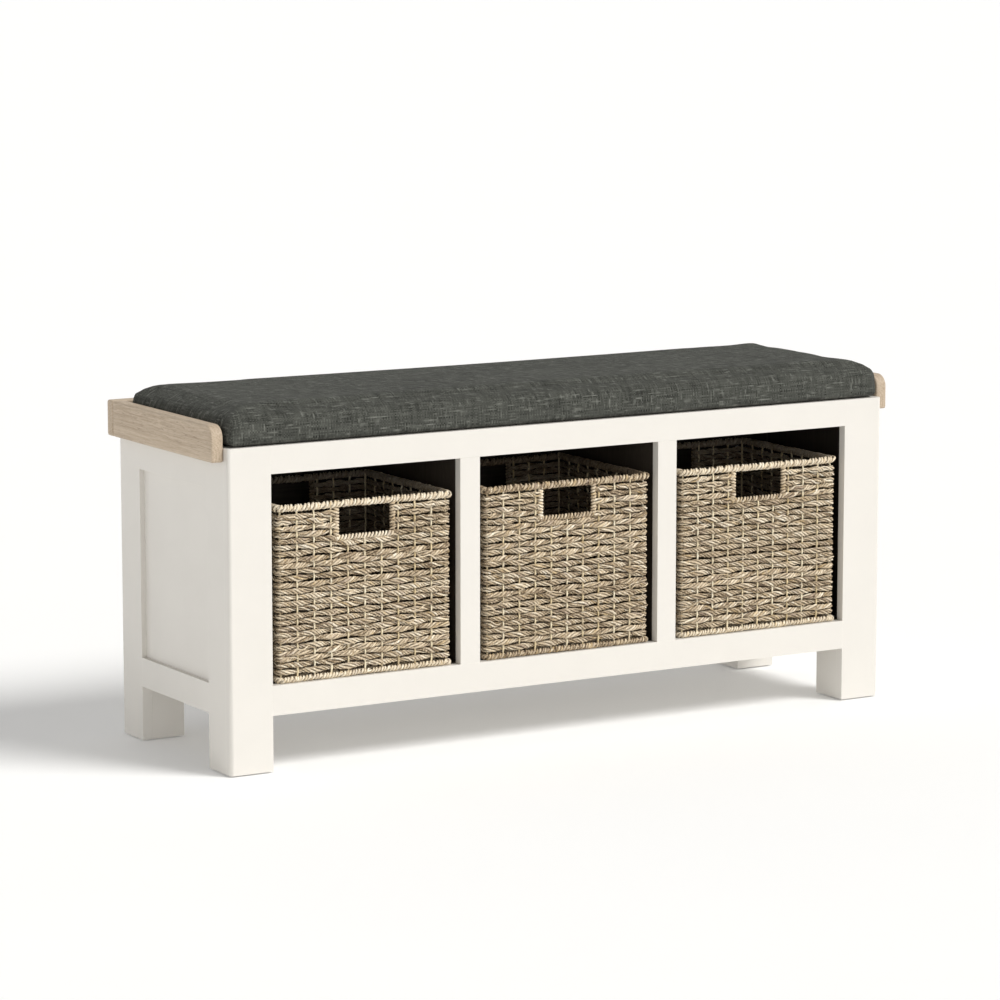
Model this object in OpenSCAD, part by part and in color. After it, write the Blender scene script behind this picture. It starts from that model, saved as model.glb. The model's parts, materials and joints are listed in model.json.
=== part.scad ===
// Entryway bench: painted carcass with three basket bays, a limed oak gallery on three sides of the
// seat, a lift-off cushion and three woven baskets.
// Millimetres. +X runs along the bench to its right end, +Y to the back and +Z up.
// The origin is on the floor under the middle of the bench.

/* [Overall] */
// Width of the painted frame, without the oak rails
frame_w = 1064; // [960:1:1300]
// Depth of the painted frame, front face to back face
frame_d = 334; // [300:1:420]
// Height of the painted frame above the floor
frame_h = 444; // [360:1:540]

/* [Front, side and back frames] */
// Width of each corner leg, seen from the front and from the side
post_w = 64; // [52:1:80]
// Thickness of the front frame boards
front_t = 14; // [12:1:22]
// Thickness of the side frame boards
side_t = 15; // [15:1:22]
// Thickness of the back frame boards
back_t = 15; // [12:1:22]
// Width of each front divider stile
stile_w = 31; // [24:1:50]
// Height of the front and back top rails
top_rail_h = 38; // [34:1:60]
// Height of the side top rails
side_top_rail_h = 60; // [48:1:90]
// Height of the bottom rails
bottom_rail_h = 41; // [38:1:60]
// Gap from the floor to the underside of the bottom rails
bottom_rail_z = 78; // [50:1:120]
// Radius on the outer upright edges of the legs
edge_r = 5; // [1:0.5:8]

/* [Side panels] */
// Thickness of the side panels
panel_t = 6; // [4:0.5:6]
// Depth of the side panels behind the face of their frame
panel_recess = 7; // [4:0.5:7]
// Depth of the groove that holds a side panel
groove_depth = 8; // [5:0.5:10]
// Room left for a side panel to move at each edge of its groove
groove_play = 0.5; // [0.2:0.1:1]

/* [Inside boards] */
// Thickness of the dividers behind the divider stiles
divider_t = 15; // [12:1:20]
// Thickness of the shelf that the baskets stand on
shelf_t = 15; // [12:1:20]
// Thickness of the seat deck under the cushion
deck_t = 15; // [12:1:20]
// Thickness of the back panel
back_panel_t = 6; // [4:0.5:9]
// Side of each square corner block under the deck
corner_block = 30; // [24:1:40]

/* [Oak gallery] */
// Thickness of the oak rails
oak_t = 18; // [16:0.5:25]
// Height of the oak rails
oak_h = 50; // [46:1:70]
// Distance that the oak rails reach below the top of the frame
oak_drop = 19; // [14:1:24]
// Distance of the side rails' front ends behind the face of the frame
oak_setback = 12; // [6:1:30]
// Radius on the upper front corner of each side rail
oak_front_r = 18; // [4:1:24]

/* [Cushion] */
// Height of the cushion
cushion_h = 51; // [36:1:80]
// Gap between the cushion and the oak rails
cushion_gap = 3; // [1:0.5:8]
// Radius on the cushion's upper edges and upright corners
cushion_r = 12; // [6:1:16]
// Thickness of the fabric cover
cover_t = 1.5; // [1:0.5:3]
// Thickness of the plywood board in the base of the cushion
board_t = 9; // [6:1:15]

/* [Baskets] */
// Gap between a basket and the divider stile or leg on each side
basket_side_gap = 8.5; // [4:0.5:20]
// Gap between the rim of a basket and the top rail
basket_top_gap = 44; // [20:1:80]
// Gap between a basket and the back panel
basket_back_gap = 66; // [10:1:90]
// Distance of a basket's front behind the face of the frame
basket_setback = 2; // [0:1:20]
// Thickness of the woven walls
weave_t = 8; // [7:0.5:12]
// Width of the plaited rim
rim_w = 11; // [9:0.5:14]
// Height of the plaited rim
rim_h = 10; // [8:0.5:16]
// Width of the twisted bottom border
border_w = 9.5; // [8:0.5:13]
// Height of the twisted bottom border
border_h = 8; // [7:0.5:14]
// Thickness of the woven base
base_t = 6; // [4:0.5:7]
// Outer corner radius of the woven walls
basket_r = 6; // [5:0.5:16]
// Width of each hand hole
hole_w = 79; // [60:1:120]
// Height of each hand hole
hole_h = 38; // [25:1:60]
// Diameter of the wire inside the weave
wire_d = 4; // [2:0.5:4]

/* [Fasteners and feet] */
// Diameter of the dowels
dowel_d = 8; // [5:1:8]
// Length of the dowels
dowel_l = 30; // [20:1:30]
// Height between the two dowels in one rail end
dowel_pitch = 18; // [14:1:20]
// Diameter of the screw shanks
screw_d = 4; // [3:0.5:5]
// Diameter of the screw heads
screw_head_d = 8; // [6:0.5:10]
// Diameter of the floor glides
glide_d = 22; // [15:1:30]
// Height of each glide that is let into its leg
glide_in = 2; // [1:0.5:4]
// Height of each glide that stands below its leg
glide_out = 2; // [1:0.5:4]

/* [Hidden] */
$fn = 64;

PAINT = [0.94, 0.92, 0.88];
OAK = [0.73, 0.64, 0.53];
BEECH = [0.84, 0.72, 0.54];
STEEL = [0.72, 0.72, 0.74];
GLIDE = [0.2, 0.2, 0.2];
CHARCOAL = [0.29, 0.29, 0.28];
FOAM = [0.93, 0.89, 0.72];
SEAGRASS = [0.68, 0.59, 0.44];

LEFT = -1;
RIGHT = 1;
FRONT = -1;
BACK = 1;

// Outer faces of the frame
x_out = frame_w / 2;
y_out = frame_d / 2;
// Inner faces of the front, side and back frames
x_in = x_out - side_t;
y_front_in = -y_out + front_t;
y_back_in = y_out - back_t;
// Inner upright edges of the legs
x_post = x_out - post_w;
y_post = y_out - post_w;
// Front face of the back panel, where the shelf, the deck and the dividers end
y_panel = y_back_in - back_panel_t;
// Heights
foot_z = glide_out;
bottom_rail_top = bottom_rail_z + bottom_rail_h;
top_rail_z = frame_h - top_rail_h;
side_rail_z = frame_h - side_top_rail_h;
shelf_z = bottom_rail_top - shelf_t;
deck_z = frame_h - deck_t;

// The three bays are equal
bay_w = (2 * x_post - 2 * stile_w) / 3;
bay_pitch = bay_w + stile_w;
stile_x = bay_pitch / 2;

// Dowels sit in the solid part of each rail end, clear of the side panel's groove
half_pitch = dowel_pitch / 2;
front_mid_y = -y_out + front_t / 2;
back_mid_y = y_out - back_t / 2;
side_mid_x = x_out - side_t / 2;
top_rail_mid = frame_h - top_rail_h / 2;
bottom_rail_mid = bottom_rail_z + bottom_rail_h / 2;
side_top_mid = (side_rail_z + groove_depth + frame_h) / 2;
side_bottom_mid = (bottom_rail_z + bottom_rail_top - groove_depth) / 2;

// Oak gallery
oak_z = frame_h - oak_drop;
oak_top = oak_z + oak_h;
oak_back_y = y_out - oak_t;
oak_above = oak_top - frame_h;
oak_dowel_l = min(dowel_l, 1.2 * oak_above);
oak_dowel_xs = [for (i = [-2:2]) i * x_post * 0.42];
oak_screw_ys = [-y_post - post_w / 2, 0, y_post + post_w / 2];
oak_screw_l = side_t + oak_t - 7;

// Cushion
rest_gap = 0.3;
cushion_z = frame_h + rest_gap;
cushion_top = cushion_z + cushion_h;
cushion_x = x_out - cushion_gap;
cushion_y0 = -y_out;
cushion_y1 = oak_back_y - cushion_gap;

// Baskets
basket_w = bay_w - 2 * basket_side_gap;
basket_y0 = -y_out + basket_setback;
basket_y1 = y_panel - basket_back_gap;
basket_d = basket_y1 - basket_y0;
basket_z = bottom_rail_top + rest_gap;
basket_top = top_rail_z - basket_top_gap;
weave_z = basket_z + border_h;
weave_top = basket_top - rim_h;
wire_inset = rim_w / 2;
rim_wire_z = basket_top - rim_h / 2;
border_wire_z = basket_z + border_h / 2;

// Screws
screw_head_h = (screw_head_d - screw_d) / 2;
deck_screw_l = corner_block + deck_t - 5;
leg_screw_l = shelf_t + 20;
leg_screw_offset = 12;
panel_screw_l = back_panel_t + back_t - 5;
panel_screw_xs = [for (i = [-2:2]) i * x_post * 0.42];
panel_screw_zs = [for (k = [1:3]) bottom_rail_top + k * (top_rail_z - bottom_rail_top) / 4];

// ---------- shared shapes ----------

// A plain board between two corners
module board(x0, x1, y0, y1, z0, z1) {
    translate([x0, y0, z0])
        cube([x1 - x0, y1 - y0, z1 - z0]);
}

// A rectangle from the origin whose corner at the origin is rounded
module one_round_corner(w, d, r) {
    translate([r, r])
        circle(r = r);
    translate([r, 0])
        square([w - r, d]);
    translate([0, r])
        square([w, d - r]);
}

// A rectangle about the origin with four rounded corners
module rounded_rectangle(w, d, r) {
    square([w - 2 * r, d], center = true);
    square([w, d - 2 * r], center = true);
    for (sx = [-1, 1])
        for (sy = [-1, 1])
            translate([sx * (w / 2 - r), sy * (d / 2 - r)])
                circle(r = r);
}

// Places a left-hand shape on the left, or its mirror image on the right
module on_side(side) {
    if (side == LEFT)
        children();
    else
        mirror([1, 0, 0])
            children();
}

// Countersunk screw, its flat head at the origin and its shank along -Z
module screw(length) {
    translate([0, 0, -screw_head_h])
        cylinder(d1 = screw_d, d2 = screw_head_d, h = screw_head_h);
    translate([0, 0, -length])
        cylinder(d = screw_d, h = length - screw_head_h);
}

module dowel(length = dowel_l) {
    cylinder(d = dowel_d, h = length, center = true);
}

// ---------- fasteners ----------

module front_frame_dowels() {
    for (side = [LEFT, RIGHT])
        for (z = [top_rail_mid, bottom_rail_mid])
            for (k = [-1, 1])
                translate([side * x_post, front_mid_y, z + k * half_pitch])
                    rotate([0, 90, 0])
                        dowel();
    for (side = [LEFT, RIGHT])
        for (z = [top_rail_z, bottom_rail_top])
            translate([side * stile_x, front_mid_y, z])
                dowel();
}

module side_frame_dowels(side) {
    for (end = [FRONT, BACK])
        for (z = [side_top_mid, side_bottom_mid])
            for (k = [-1, 1])
                translate([side * side_mid_x, end * y_post, z + k * half_pitch])
                    rotate([90, 0, 0])
                        dowel();
}

module back_frame_dowels() {
    for (side = [LEFT, RIGHT])
        for (z = [top_rail_mid, bottom_rail_mid])
            for (k = [-1, 1])
                translate([side * x_post, back_mid_y, z + k * half_pitch])
                    rotate([0, 90, 0])
                        dowel();
}

module frame_dowels() {
    color(BEECH) {
        front_frame_dowels();
        side_frame_dowels(LEFT);
        side_frame_dowels(RIGHT);
        back_frame_dowels();
    }
}

module oak_base_dowels() {
    for (x = oak_dowel_xs)
        translate([x, back_mid_y, frame_h])
            dowel(oak_dowel_l);
}

module oak_corner_dowel(side) {
    translate([side * (x_out + oak_t / 2), oak_back_y, oak_z + oak_h / 2])
        rotate([90, 0, 0])
            dowel(oak_dowel_l * 0.7);
}

module oak_dowels() {
    color(BEECH) {
        oak_base_dowels();
        oak_corner_dowel(LEFT);
        oak_corner_dowel(RIGHT);
    }
}

module oak_side_screws(side) {
    for (y = oak_screw_ys)
        translate([side * x_in, y, frame_h - oak_drop / 2])
            rotate([0, -side * 90, 0])
                screw(oak_screw_l);
}

module oak_screws() {
    color(STEEL) {
        oak_side_screws(LEFT);
        oak_side_screws(RIGHT);
    }
}

module deck_screws() {
    color(STEEL)
        for (sx = [-1, 1])
            for (y = [y_front_in + corner_block / 2, y_panel - corner_block / 2])
                translate([sx * (x_in - corner_block / 2), y, deck_z - corner_block])
                    rotate([180, 0, 0])
                        screw(deck_screw_l);
}

module leg_block_screws() {
    color(STEEL)
        for (sx = [-1, 1])
            for (y = [(y_front_in - y_post) / 2, (y_post + y_back_in) / 2])
                for (k = [-1, 1])
                    translate([sx * (x_in + x_post) / 2 + k * leg_screw_offset, y, bottom_rail_top])
                        screw(leg_screw_l);
}

module back_panel_screws() {
    color(STEEL) {
        for (x = panel_screw_xs)
            translate([x, y_panel, (top_rail_z + deck_z) / 2])
                rotate([90, 0, 0])
                    screw(panel_screw_l);
        for (sx = [-1, 1])
            for (z = panel_screw_zs)
                translate([sx * (x_in + x_post) / 2, y_panel, z])
                    rotate([90, 0, 0])
                        screw(panel_screw_l);
    }
}

module floor_glides() {
    color(GLIDE)
        for (sx = [-1, 1])
            for (sy = [-1, 1])
                translate([sx * (x_out - post_w / 2), sy * (y_out - post_w / 2), 0])
                    cylinder(d = glide_d, h = glide_out + glide_in);
}

// ---------- front frame ----------

module front_stile(side) {
    color(PAINT)
        difference() {
            on_side(side)
                translate([-x_out, -y_out, foot_z])
                    linear_extrude(height = frame_h - foot_z)
                        one_round_corner(post_w, front_t, edge_r);
            front_frame_dowels();
        }
}

module front_left_stile() { front_stile(LEFT); }

module front_right_stile() { front_stile(RIGHT); }

module front_top_rail() {
    color(PAINT)
        difference() {
            board(-x_post, x_post, -y_out, y_front_in, top_rail_z, frame_h);
            front_frame_dowels();
        }
}

module front_bottom_rail() {
    color(PAINT)
        difference() {
            board(-x_post, x_post, -y_out, y_front_in, bottom_rail_z, bottom_rail_top);
            front_frame_dowels();
        }
}

module divider_stile(side) {
    color(PAINT)
        difference() {
            board(side * stile_x - stile_w / 2, side * stile_x + stile_w / 2,
                  -y_out, y_front_in, bottom_rail_top, top_rail_z);
            front_frame_dowels();
        }
}

module left_divider_stile() { divider_stile(LEFT); }

module right_divider_stile() { divider_stile(RIGHT); }

// ---------- side frames ----------

// The groove in a side frame, which its panel fills except for the play at the edges
module side_panel_shape(side, play) {
    on_side(side)
        board(-x_out + panel_recess, -x_out + panel_recess + panel_t,
              -y_post - groove_depth + play, y_post + groove_depth - play,
              bottom_rail_top - groove_depth + play, side_rail_z + groove_depth - play);
}

module side_frame_cuts(side) {
    side_panel_shape(side, 0);
    side_frame_dowels(side);
    oak_side_screws(side);
}

module side_front_stile(side) {
    color(PAINT)
        difference() {
            on_side(side)
                board(-x_out, -x_in, y_front_in, -y_post, foot_z, frame_h);
            side_frame_cuts(side);
        }
}

module side_back_stile(side) {
    color(PAINT)
        difference() {
            on_side(side)
                translate([-x_out, y_out, foot_z])
                    mirror([0, 1, 0])
                        linear_extrude(height = frame_h - foot_z)
                            one_round_corner(side_t, post_w, edge_r);
            side_frame_cuts(side);
        }
}

module side_top_rail(side) {
    color(PAINT)
        difference() {
            on_side(side)
                board(-x_out, -x_in, -y_post, y_post, side_rail_z, frame_h);
            side_frame_cuts(side);
        }
}

module side_bottom_rail(side) {
    color(PAINT)
        difference() {
            on_side(side)
                board(-x_out, -x_in, -y_post, y_post, bottom_rail_z, bottom_rail_top);
            side_frame_cuts(side);
        }
}

module side_panel(side) {
    color(PAINT)
        side_panel_shape(side, groove_play);
}

module left_side_front_stile() { side_front_stile(LEFT); }

module left_side_back_stile() { side_back_stile(LEFT); }

module left_side_top_rail() { side_top_rail(LEFT); }

module left_side_bottom_rail() { side_bottom_rail(LEFT); }

module left_side_panel() { side_panel(LEFT); }

module right_side_front_stile() { side_front_stile(RIGHT); }

module right_side_back_stile() { side_back_stile(RIGHT); }

module right_side_top_rail() { side_top_rail(RIGHT); }

module right_side_bottom_rail() { side_bottom_rail(RIGHT); }

module right_side_panel() { side_panel(RIGHT); }

// ---------- back frame ----------

module back_frame_cuts() {
    back_frame_dowels();
    back_panel_screws();
    oak_base_dowels();
}

module back_stile(side) {
    color(PAINT)
        difference() {
            on_side(side)
                board(-x_in, -x_post, y_back_in, y_out, foot_z, frame_h);
            back_frame_cuts();
        }
}

module back_left_stile() { back_stile(LEFT); }

module back_right_stile() { back_stile(RIGHT); }

module back_top_rail() {
    color(PAINT)
        difference() {
            board(-x_post, x_post, y_back_in, y_out, top_rail_z, frame_h);
            back_frame_cuts();
        }
}

module back_bottom_rail() {
    color(PAINT)
        difference() {
            board(-x_post, x_post, y_back_in, y_out, bottom_rail_z, bottom_rail_top);
            back_frame_cuts();
        }
}

module back_panel() {
    color(PAINT)
        difference() {
            board(-x_in, x_in, y_panel, y_back_in, shelf_z, frame_h);
            back_panel_screws();
        }
}

// ---------- legs, shelf, deck and dividers ----------

module leg_block(side, y0, y1) {
    color(PAINT)
        difference() {
            on_side(side)
                board(-x_in, -x_post, y0, y1, foot_z, shelf_z);
            leg_block_screws();
            floor_glides();
        }
}

module front_left_leg_block() { leg_block(LEFT, y_front_in, -y_post); }

module front_right_leg_block() { leg_block(RIGHT, y_front_in, -y_post); }

module back_left_leg_block() { leg_block(LEFT, y_post, y_back_in); }

module back_right_leg_block() { leg_block(RIGHT, y_post, y_back_in); }

module divider(side) {
    color(PAINT)
        board(side * stile_x - divider_t / 2, side * stile_x + divider_t / 2,
              y_front_in, y_panel, bottom_rail_top, deck_z);
}

module left_divider() { divider(LEFT); }

module right_divider() { divider(RIGHT); }

module bottom_shelf() {
    color(PAINT)
        difference() {
            board(-x_in, x_in, y_front_in, y_panel, shelf_z, bottom_rail_top);
            leg_block_screws();
        }
}

module seat_deck() {
    color(PAINT)
        difference() {
            board(-x_in, x_in, y_front_in, y_panel, deck_z, frame_h);
            deck_screws();
        }
}

module corner_blocks() {
    color(BEECH)
        difference() {
            for (sx = [-1, 1])
                for (y = [y_front_in, y_panel - corner_block])
                    translate([sx * (x_in - corner_block / 2) - corner_block / 2, y, deck_z - corner_block])
                        cube(corner_block);
            deck_screws();
        }
}

// ---------- oak gallery ----------

module side_oak_rail(side) {
    rail_l = oak_back_y + y_out - oak_setback;
    color(OAK)
        difference() {
            on_side(side)
                translate([-x_out, -y_out + oak_setback, oak_top])
                    rotate([0, -90, 0])
                        linear_extrude(height = oak_t)
                            mirror([1, 0])
                                one_round_corner(oak_h, rail_l, oak_front_r);
            oak_side_screws(side);
            oak_corner_dowel(side);
        }
}

module left_oak_rail() { side_oak_rail(LEFT); }

module right_oak_rail() { side_oak_rail(RIGHT); }

// Sits on the back of the frame; its ends drop past the frame and close the side rails
module back_oak_rail() {
    color(OAK)
        difference() {
            board(-x_out - oak_t, x_out + oak_t, oak_back_y, y_out, oak_z, oak_top);
            board(-x_out, x_out, oak_back_y - 1, y_out + 1, oak_z - 1, frame_h);
            oak_base_dowels();
            oak_corner_dowel(LEFT);
            oak_corner_dowel(RIGHT);
        }
}

// ---------- cushion ----------

// The cushion block, drawn in by inset on the top and sides, from height z0 up
module cushion_block(inset, z0) {
    w = 2 * (cushion_x - inset);
    d = cushion_y1 - cushion_y0 - 2 * inset;
    h = cushion_top - inset - z0;
    r = cushion_r - inset;
    translate([0, (cushion_y0 + cushion_y1) / 2, z0])
        intersection() {
            linear_extrude(height = h)
                rounded_rectangle(w, d, r);
            translate([0, d / 2, 0])
                rotate([90, 0, 0])
                    linear_extrude(height = d)
                        translate([0, h / 2 - r])
                            rounded_rectangle(w, h + 2 * r, r);
            translate([-w / 2, 0, 0])
                rotate([90, 0, 90])
                    linear_extrude(height = w)
                        translate([0, h / 2 - r])
                            rounded_rectangle(d, h + 2 * r, r);
        }
}

module cushion_cover() {
    color(CHARCOAL)
        difference() {
            cushion_block(0, cushion_z);
            cushion_block(cover_t, cushion_z - 1);
        }
}

module cushion_foam() {
    color(FOAM)
        cushion_block(cover_t, cushion_z + board_t);
}

module cushion_board() {
    color(BEECH)
        translate([0, (cushion_y0 + cushion_y1) / 2, cushion_z])
            linear_extrude(height = board_t)
                rounded_rectangle(2 * (cushion_x - cover_t), cushion_y1 - cushion_y0 - 2 * cover_t,
                                  cushion_r - cover_t);
}

// ---------- baskets ----------

// A rectangular ring about a basket's centre line, its wall centred on the wire
module basket_ring(wall, r, z0, z1) {
    outer_w = basket_w - 2 * wire_inset + wall;
    outer_d = basket_d - 2 * wire_inset + wall;
    translate([0, 0, z0])
        linear_extrude(height = z1 - z0)
            difference() {
                rounded_rectangle(outer_w, outer_d, r);
                square([outer_w - 2 * wall, outer_d - 2 * wall], center = true);
            }
}

module basket_wire_shape() {
    x = basket_w / 2 - wire_inset;
    y = basket_d / 2 - wire_inset;
    for (z = [border_wire_z, rim_wire_z]) {
        for (sx = [-1, 1])
            translate([sx * x, 0, z])
                rotate([90, 0, 0])
                    cylinder(d = wire_d, h = 2 * y, center = true);
        for (sy = [-1, 1])
            translate([0, sy * y, z])
                rotate([0, 90, 0])
                    cylinder(d = wire_d, h = 2 * x, center = true);
    }
    for (sx = [-1, 1])
        for (sy = [-1, 1]) {
            translate([sx * x, sy * y, border_wire_z])
                cylinder(d = wire_d, h = rim_wire_z - border_wire_z);
            for (z = [border_wire_z, rim_wire_z])
                translate([sx * x, sy * y, z])
                    sphere(d = wire_d);
        }
}

module in_bay(bay) {
    translate([bay * bay_pitch, (basket_y0 + basket_y1) / 2, 0])
        children();
}

module basket_weave(bay) {
    color(SEAGRASS)
        in_bay(bay)
            difference() {
                basket_ring(weave_t, basket_r, weave_z, weave_top);
                translate([-hole_w / 2, -basket_d, weave_top - hole_h])
                    cube([hole_w, 2 * basket_d, 2 * hole_h]);
                basket_wire_shape();
            }
}

module basket_rim(bay) {
    color(SEAGRASS)
        in_bay(bay)
            difference() {
                basket_ring(rim_w, basket_r + (rim_w - weave_t) / 2, weave_top, basket_top);
                basket_wire_shape();
            }
}

module basket_border(bay) {
    color(SEAGRASS)
        in_bay(bay)
            difference() {
                basket_ring(border_w, basket_r + (border_w - weave_t) / 2, basket_z, weave_z);
                basket_wire_shape();
            }
}

module basket_base(bay) {
    color(SEAGRASS)
        in_bay(bay)
            translate([0, 0, weave_z - base_t])
                linear_extrude(height = base_t)
                    square([basket_w - 2 * wire_inset - border_w, basket_d - 2 * wire_inset - border_w],
                           center = true);
}

module basket_wire(bay) {
    color(STEEL)
        in_bay(bay)
            basket_wire_shape();
}

module left_basket_weave() { basket_weave(LEFT); }

module left_basket_rim() { basket_rim(LEFT); }

module left_basket_border() { basket_border(LEFT); }

module left_basket_base() { basket_base(LEFT); }

module left_basket_wire() { basket_wire(LEFT); }

module middle_basket_weave() { basket_weave(0); }

module middle_basket_rim() { basket_rim(0); }

module middle_basket_border() { basket_border(0); }

module middle_basket_base() { basket_base(0); }

module middle_basket_wire() { basket_wire(0); }

module right_basket_weave() { basket_weave(RIGHT); }

module right_basket_rim() { basket_rim(RIGHT); }

module right_basket_border() { basket_border(RIGHT); }

module right_basket_base() { basket_base(RIGHT); }

module right_basket_wire() { basket_wire(RIGHT); }

// ---------- one node at a time, or the whole bench ----------

front_left_stile();
front_right_stile();
front_top_rail();
front_bottom_rail();
left_divider_stile();
right_divider_stile();
left_side_front_stile();
left_side_back_stile();
left_side_top_rail();
left_side_bottom_rail();
left_side_panel();
right_side_front_stile();
right_side_back_stile();
right_side_top_rail();
right_side_bottom_rail();
right_side_panel();
back_left_stile();
back_right_stile();
back_top_rail();
back_bottom_rail();
back_panel();
front_left_leg_block();
front_right_leg_block();
back_left_leg_block();
back_right_leg_block();
left_divider();
right_divider();
bottom_shelf();
seat_deck();
corner_blocks();
left_oak_rail();
right_oak_rail();
back_oak_rail();
frame_dowels();
oak_dowels();
oak_screws();
deck_screws();
leg_block_screws();
back_panel_screws();
floor_glides();
cushion_cover();
cushion_foam();
cushion_board();
left_basket_weave();
left_basket_rim();
left_basket_border();
left_basket_base();
left_basket_wire();
middle_basket_weave();
middle_basket_rim();
middle_basket_border();
middle_basket_base();
middle_basket_wire();
right_basket_weave();
right_basket_rim();
right_basket_border();
right_basket_base();
right_basket_wire();
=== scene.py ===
"""Entryway bench: painted carcass, limed oak gallery, charcoal cushion and three seagrass baskets.

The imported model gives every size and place. This script dresses its boards, screws and feet with
procedural finishes, and makes the oak gallery, the cushion and the baskets as detailed pieces
that ride on the same bodies.
"""

import json
import logging
import math
from collections.abc import Callable, Sequence
from dataclasses import dataclass, field
from enum import Enum

import bmesh
import bpy
import numpy as np
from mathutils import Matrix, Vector


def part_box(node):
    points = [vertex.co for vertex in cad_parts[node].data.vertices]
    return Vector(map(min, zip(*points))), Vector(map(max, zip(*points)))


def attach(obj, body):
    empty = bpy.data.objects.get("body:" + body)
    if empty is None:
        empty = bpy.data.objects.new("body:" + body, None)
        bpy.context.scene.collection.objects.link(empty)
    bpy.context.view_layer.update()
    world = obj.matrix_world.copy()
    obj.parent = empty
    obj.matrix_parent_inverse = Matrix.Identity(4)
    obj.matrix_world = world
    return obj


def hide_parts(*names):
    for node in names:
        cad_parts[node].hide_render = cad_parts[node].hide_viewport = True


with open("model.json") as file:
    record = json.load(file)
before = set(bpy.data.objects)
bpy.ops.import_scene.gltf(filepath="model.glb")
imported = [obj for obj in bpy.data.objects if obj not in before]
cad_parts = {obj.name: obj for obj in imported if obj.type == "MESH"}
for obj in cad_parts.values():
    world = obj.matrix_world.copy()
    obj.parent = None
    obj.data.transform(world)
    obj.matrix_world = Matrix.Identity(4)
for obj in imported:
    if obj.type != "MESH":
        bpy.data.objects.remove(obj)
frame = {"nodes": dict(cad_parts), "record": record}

LOG = logging.getLogger("entryway_bench")
MM = 0.001
TINY = 1e-9
UP = np.array([0.0, 0.0, 1.0])
EASED_ANGLE = math.radians(40)

Colour = tuple[float, float, float]
Place = tuple[float, float, float]
Array = np.ndarray
Socket = bpy.types.NodeSocket


class Axis(Enum):
    """An axis of the bench, named by its place in a coordinate."""

    X = 0
    Y = 1
    Z = 2


# ---------- shader nodes ----------


def rgba(colour: Colour) -> tuple[float, float, float, float]:
    """Gives a colour with full alpha."""
    return (*colour, 1.0)


class Net:
    """Adds nodes to one node tree and links them in short calls."""

    def __init__(self, tree: bpy.types.NodeTree) -> None:
        """Keeps the tree that the nodes go into.

        Args:
            tree: The node tree of a material or of a group.
        """
        self.tree = tree

    def node(self, kind: str, inputs: dict | None = None, **settings: object) -> bpy.types.Node:
        """Adds a node, sets it up and fills its inputs.

        Args:
            kind: The node's type, without "ShaderNode".
            inputs: A value or an output socket for each input, by name or place.
            settings: The node's own properties.

        Returns:
            The new node.
        """
        node = self.tree.nodes.new("ShaderNode" + kind)
        for key, value in settings.items():
            setattr(node, key, value)
        for key, value in (inputs or {}).items():
            if isinstance(value, Socket):
                self.tree.links.new(value, node.inputs[key])
            else:
                node.inputs[key].default_value = value
        return node

    def math(self, operation: str, a: object, b: object = 0.0, clamp: bool = False) -> Socket:
        """Adds a Math node and gives its result."""
        found = self.node("Math", {0: a, 1: b}, operation=operation, use_clamp=clamp)
        return found.outputs[0]

    def times(self, a: object, b: object) -> Socket:
        """Multiplies two values."""
        return self.math("MULTIPLY", a, b)

    def plus(self, a: object, b: object) -> Socket:
        """Adds two values."""
        return self.math("ADD", a, b)

    def parts(self, vector: Socket) -> bpy.types.NodeOutputs:
        """Splits a vector into its X, Y and Z."""
        return self.node("SeparateXYZ", {0: vector}).outputs

    def joined(self, *parts: object) -> Socket:
        """Joins up to three values into a vector."""
        return self.node("CombineXYZ", dict(enumerate(parts))).outputs[0]

    def place(self) -> Socket:
        """Gives the place on the object, in metres."""
        return self.node("TexCoord").outputs["Object"]

    def vector(self, operation: str, a: Socket, b: object = (0, 0, 0)) -> Socket:
        """Adds a Vector Math node and gives its vector."""
        return self.node("VectorMath", {0: a, 1: b}, operation=operation).outputs[0]

    def scaled(self, vector: Socket, scale: Sequence[float],
               shift: Sequence[float] = (0, 0, 0)) -> Socket:
        """Scales a vector on each axis and then shifts it."""
        found = self.node("VectorMath", {0: vector, 1: scale, 2: shift}, operation="MULTIPLY_ADD")
        return found.outputs[0]

    def noise(self, vector: Socket, scale: float, detail: float = 2.0, roughness: float = 0.5,
              distortion: float = 0.0) -> Socket:
        """Adds a Noise Texture and gives its value."""
        found = self.node("TexNoise", {"Vector": vector, "Scale": scale, "Detail": detail,
                                       "Roughness": roughness, "Distortion": distortion})
        return found.outputs[0]

    def spread(self, value: Socket, low: float, high: float, start: float = 0.0,
               end: float = 1.0) -> Socket:
        """Maps the range from low to high onto start to end, and clamps it."""
        found = self.node("MapRange", {"Value": value, "From Min": low, "From Max": high,
                                       "To Min": start, "To Max": end})
        return found.outputs[0]

    def mix(self, factor: object, a: object, b: object, blend: str = "MIX") -> Socket:
        """Mixes two colours and gives the result."""
        found = self.node("Mix", data_type="RGBA", blend_type=blend, clamp_factor=True)
        for place, value in ((0, factor), (6, a), (7, b)):
            if isinstance(value, Socket):
                self.tree.links.new(value, found.inputs[place])
            else:
                found.inputs[place].default_value = value
        return found.outputs[2]

    def ramp(self, value: Socket, colours: Sequence[Colour]) -> Socket:
        """Runs a value through evenly spaced colours."""
        found = self.node("ValToRGB", {"Fac": value})
        stops = found.color_ramp.elements
        while len(stops) < len(colours):
            stops.new(0.5)
        for i, colour in enumerate(colours):
            stops[i].position = i / (len(colours) - 1)
            stops[i].color = rgba(colour)
        return found.outputs[0]


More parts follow.
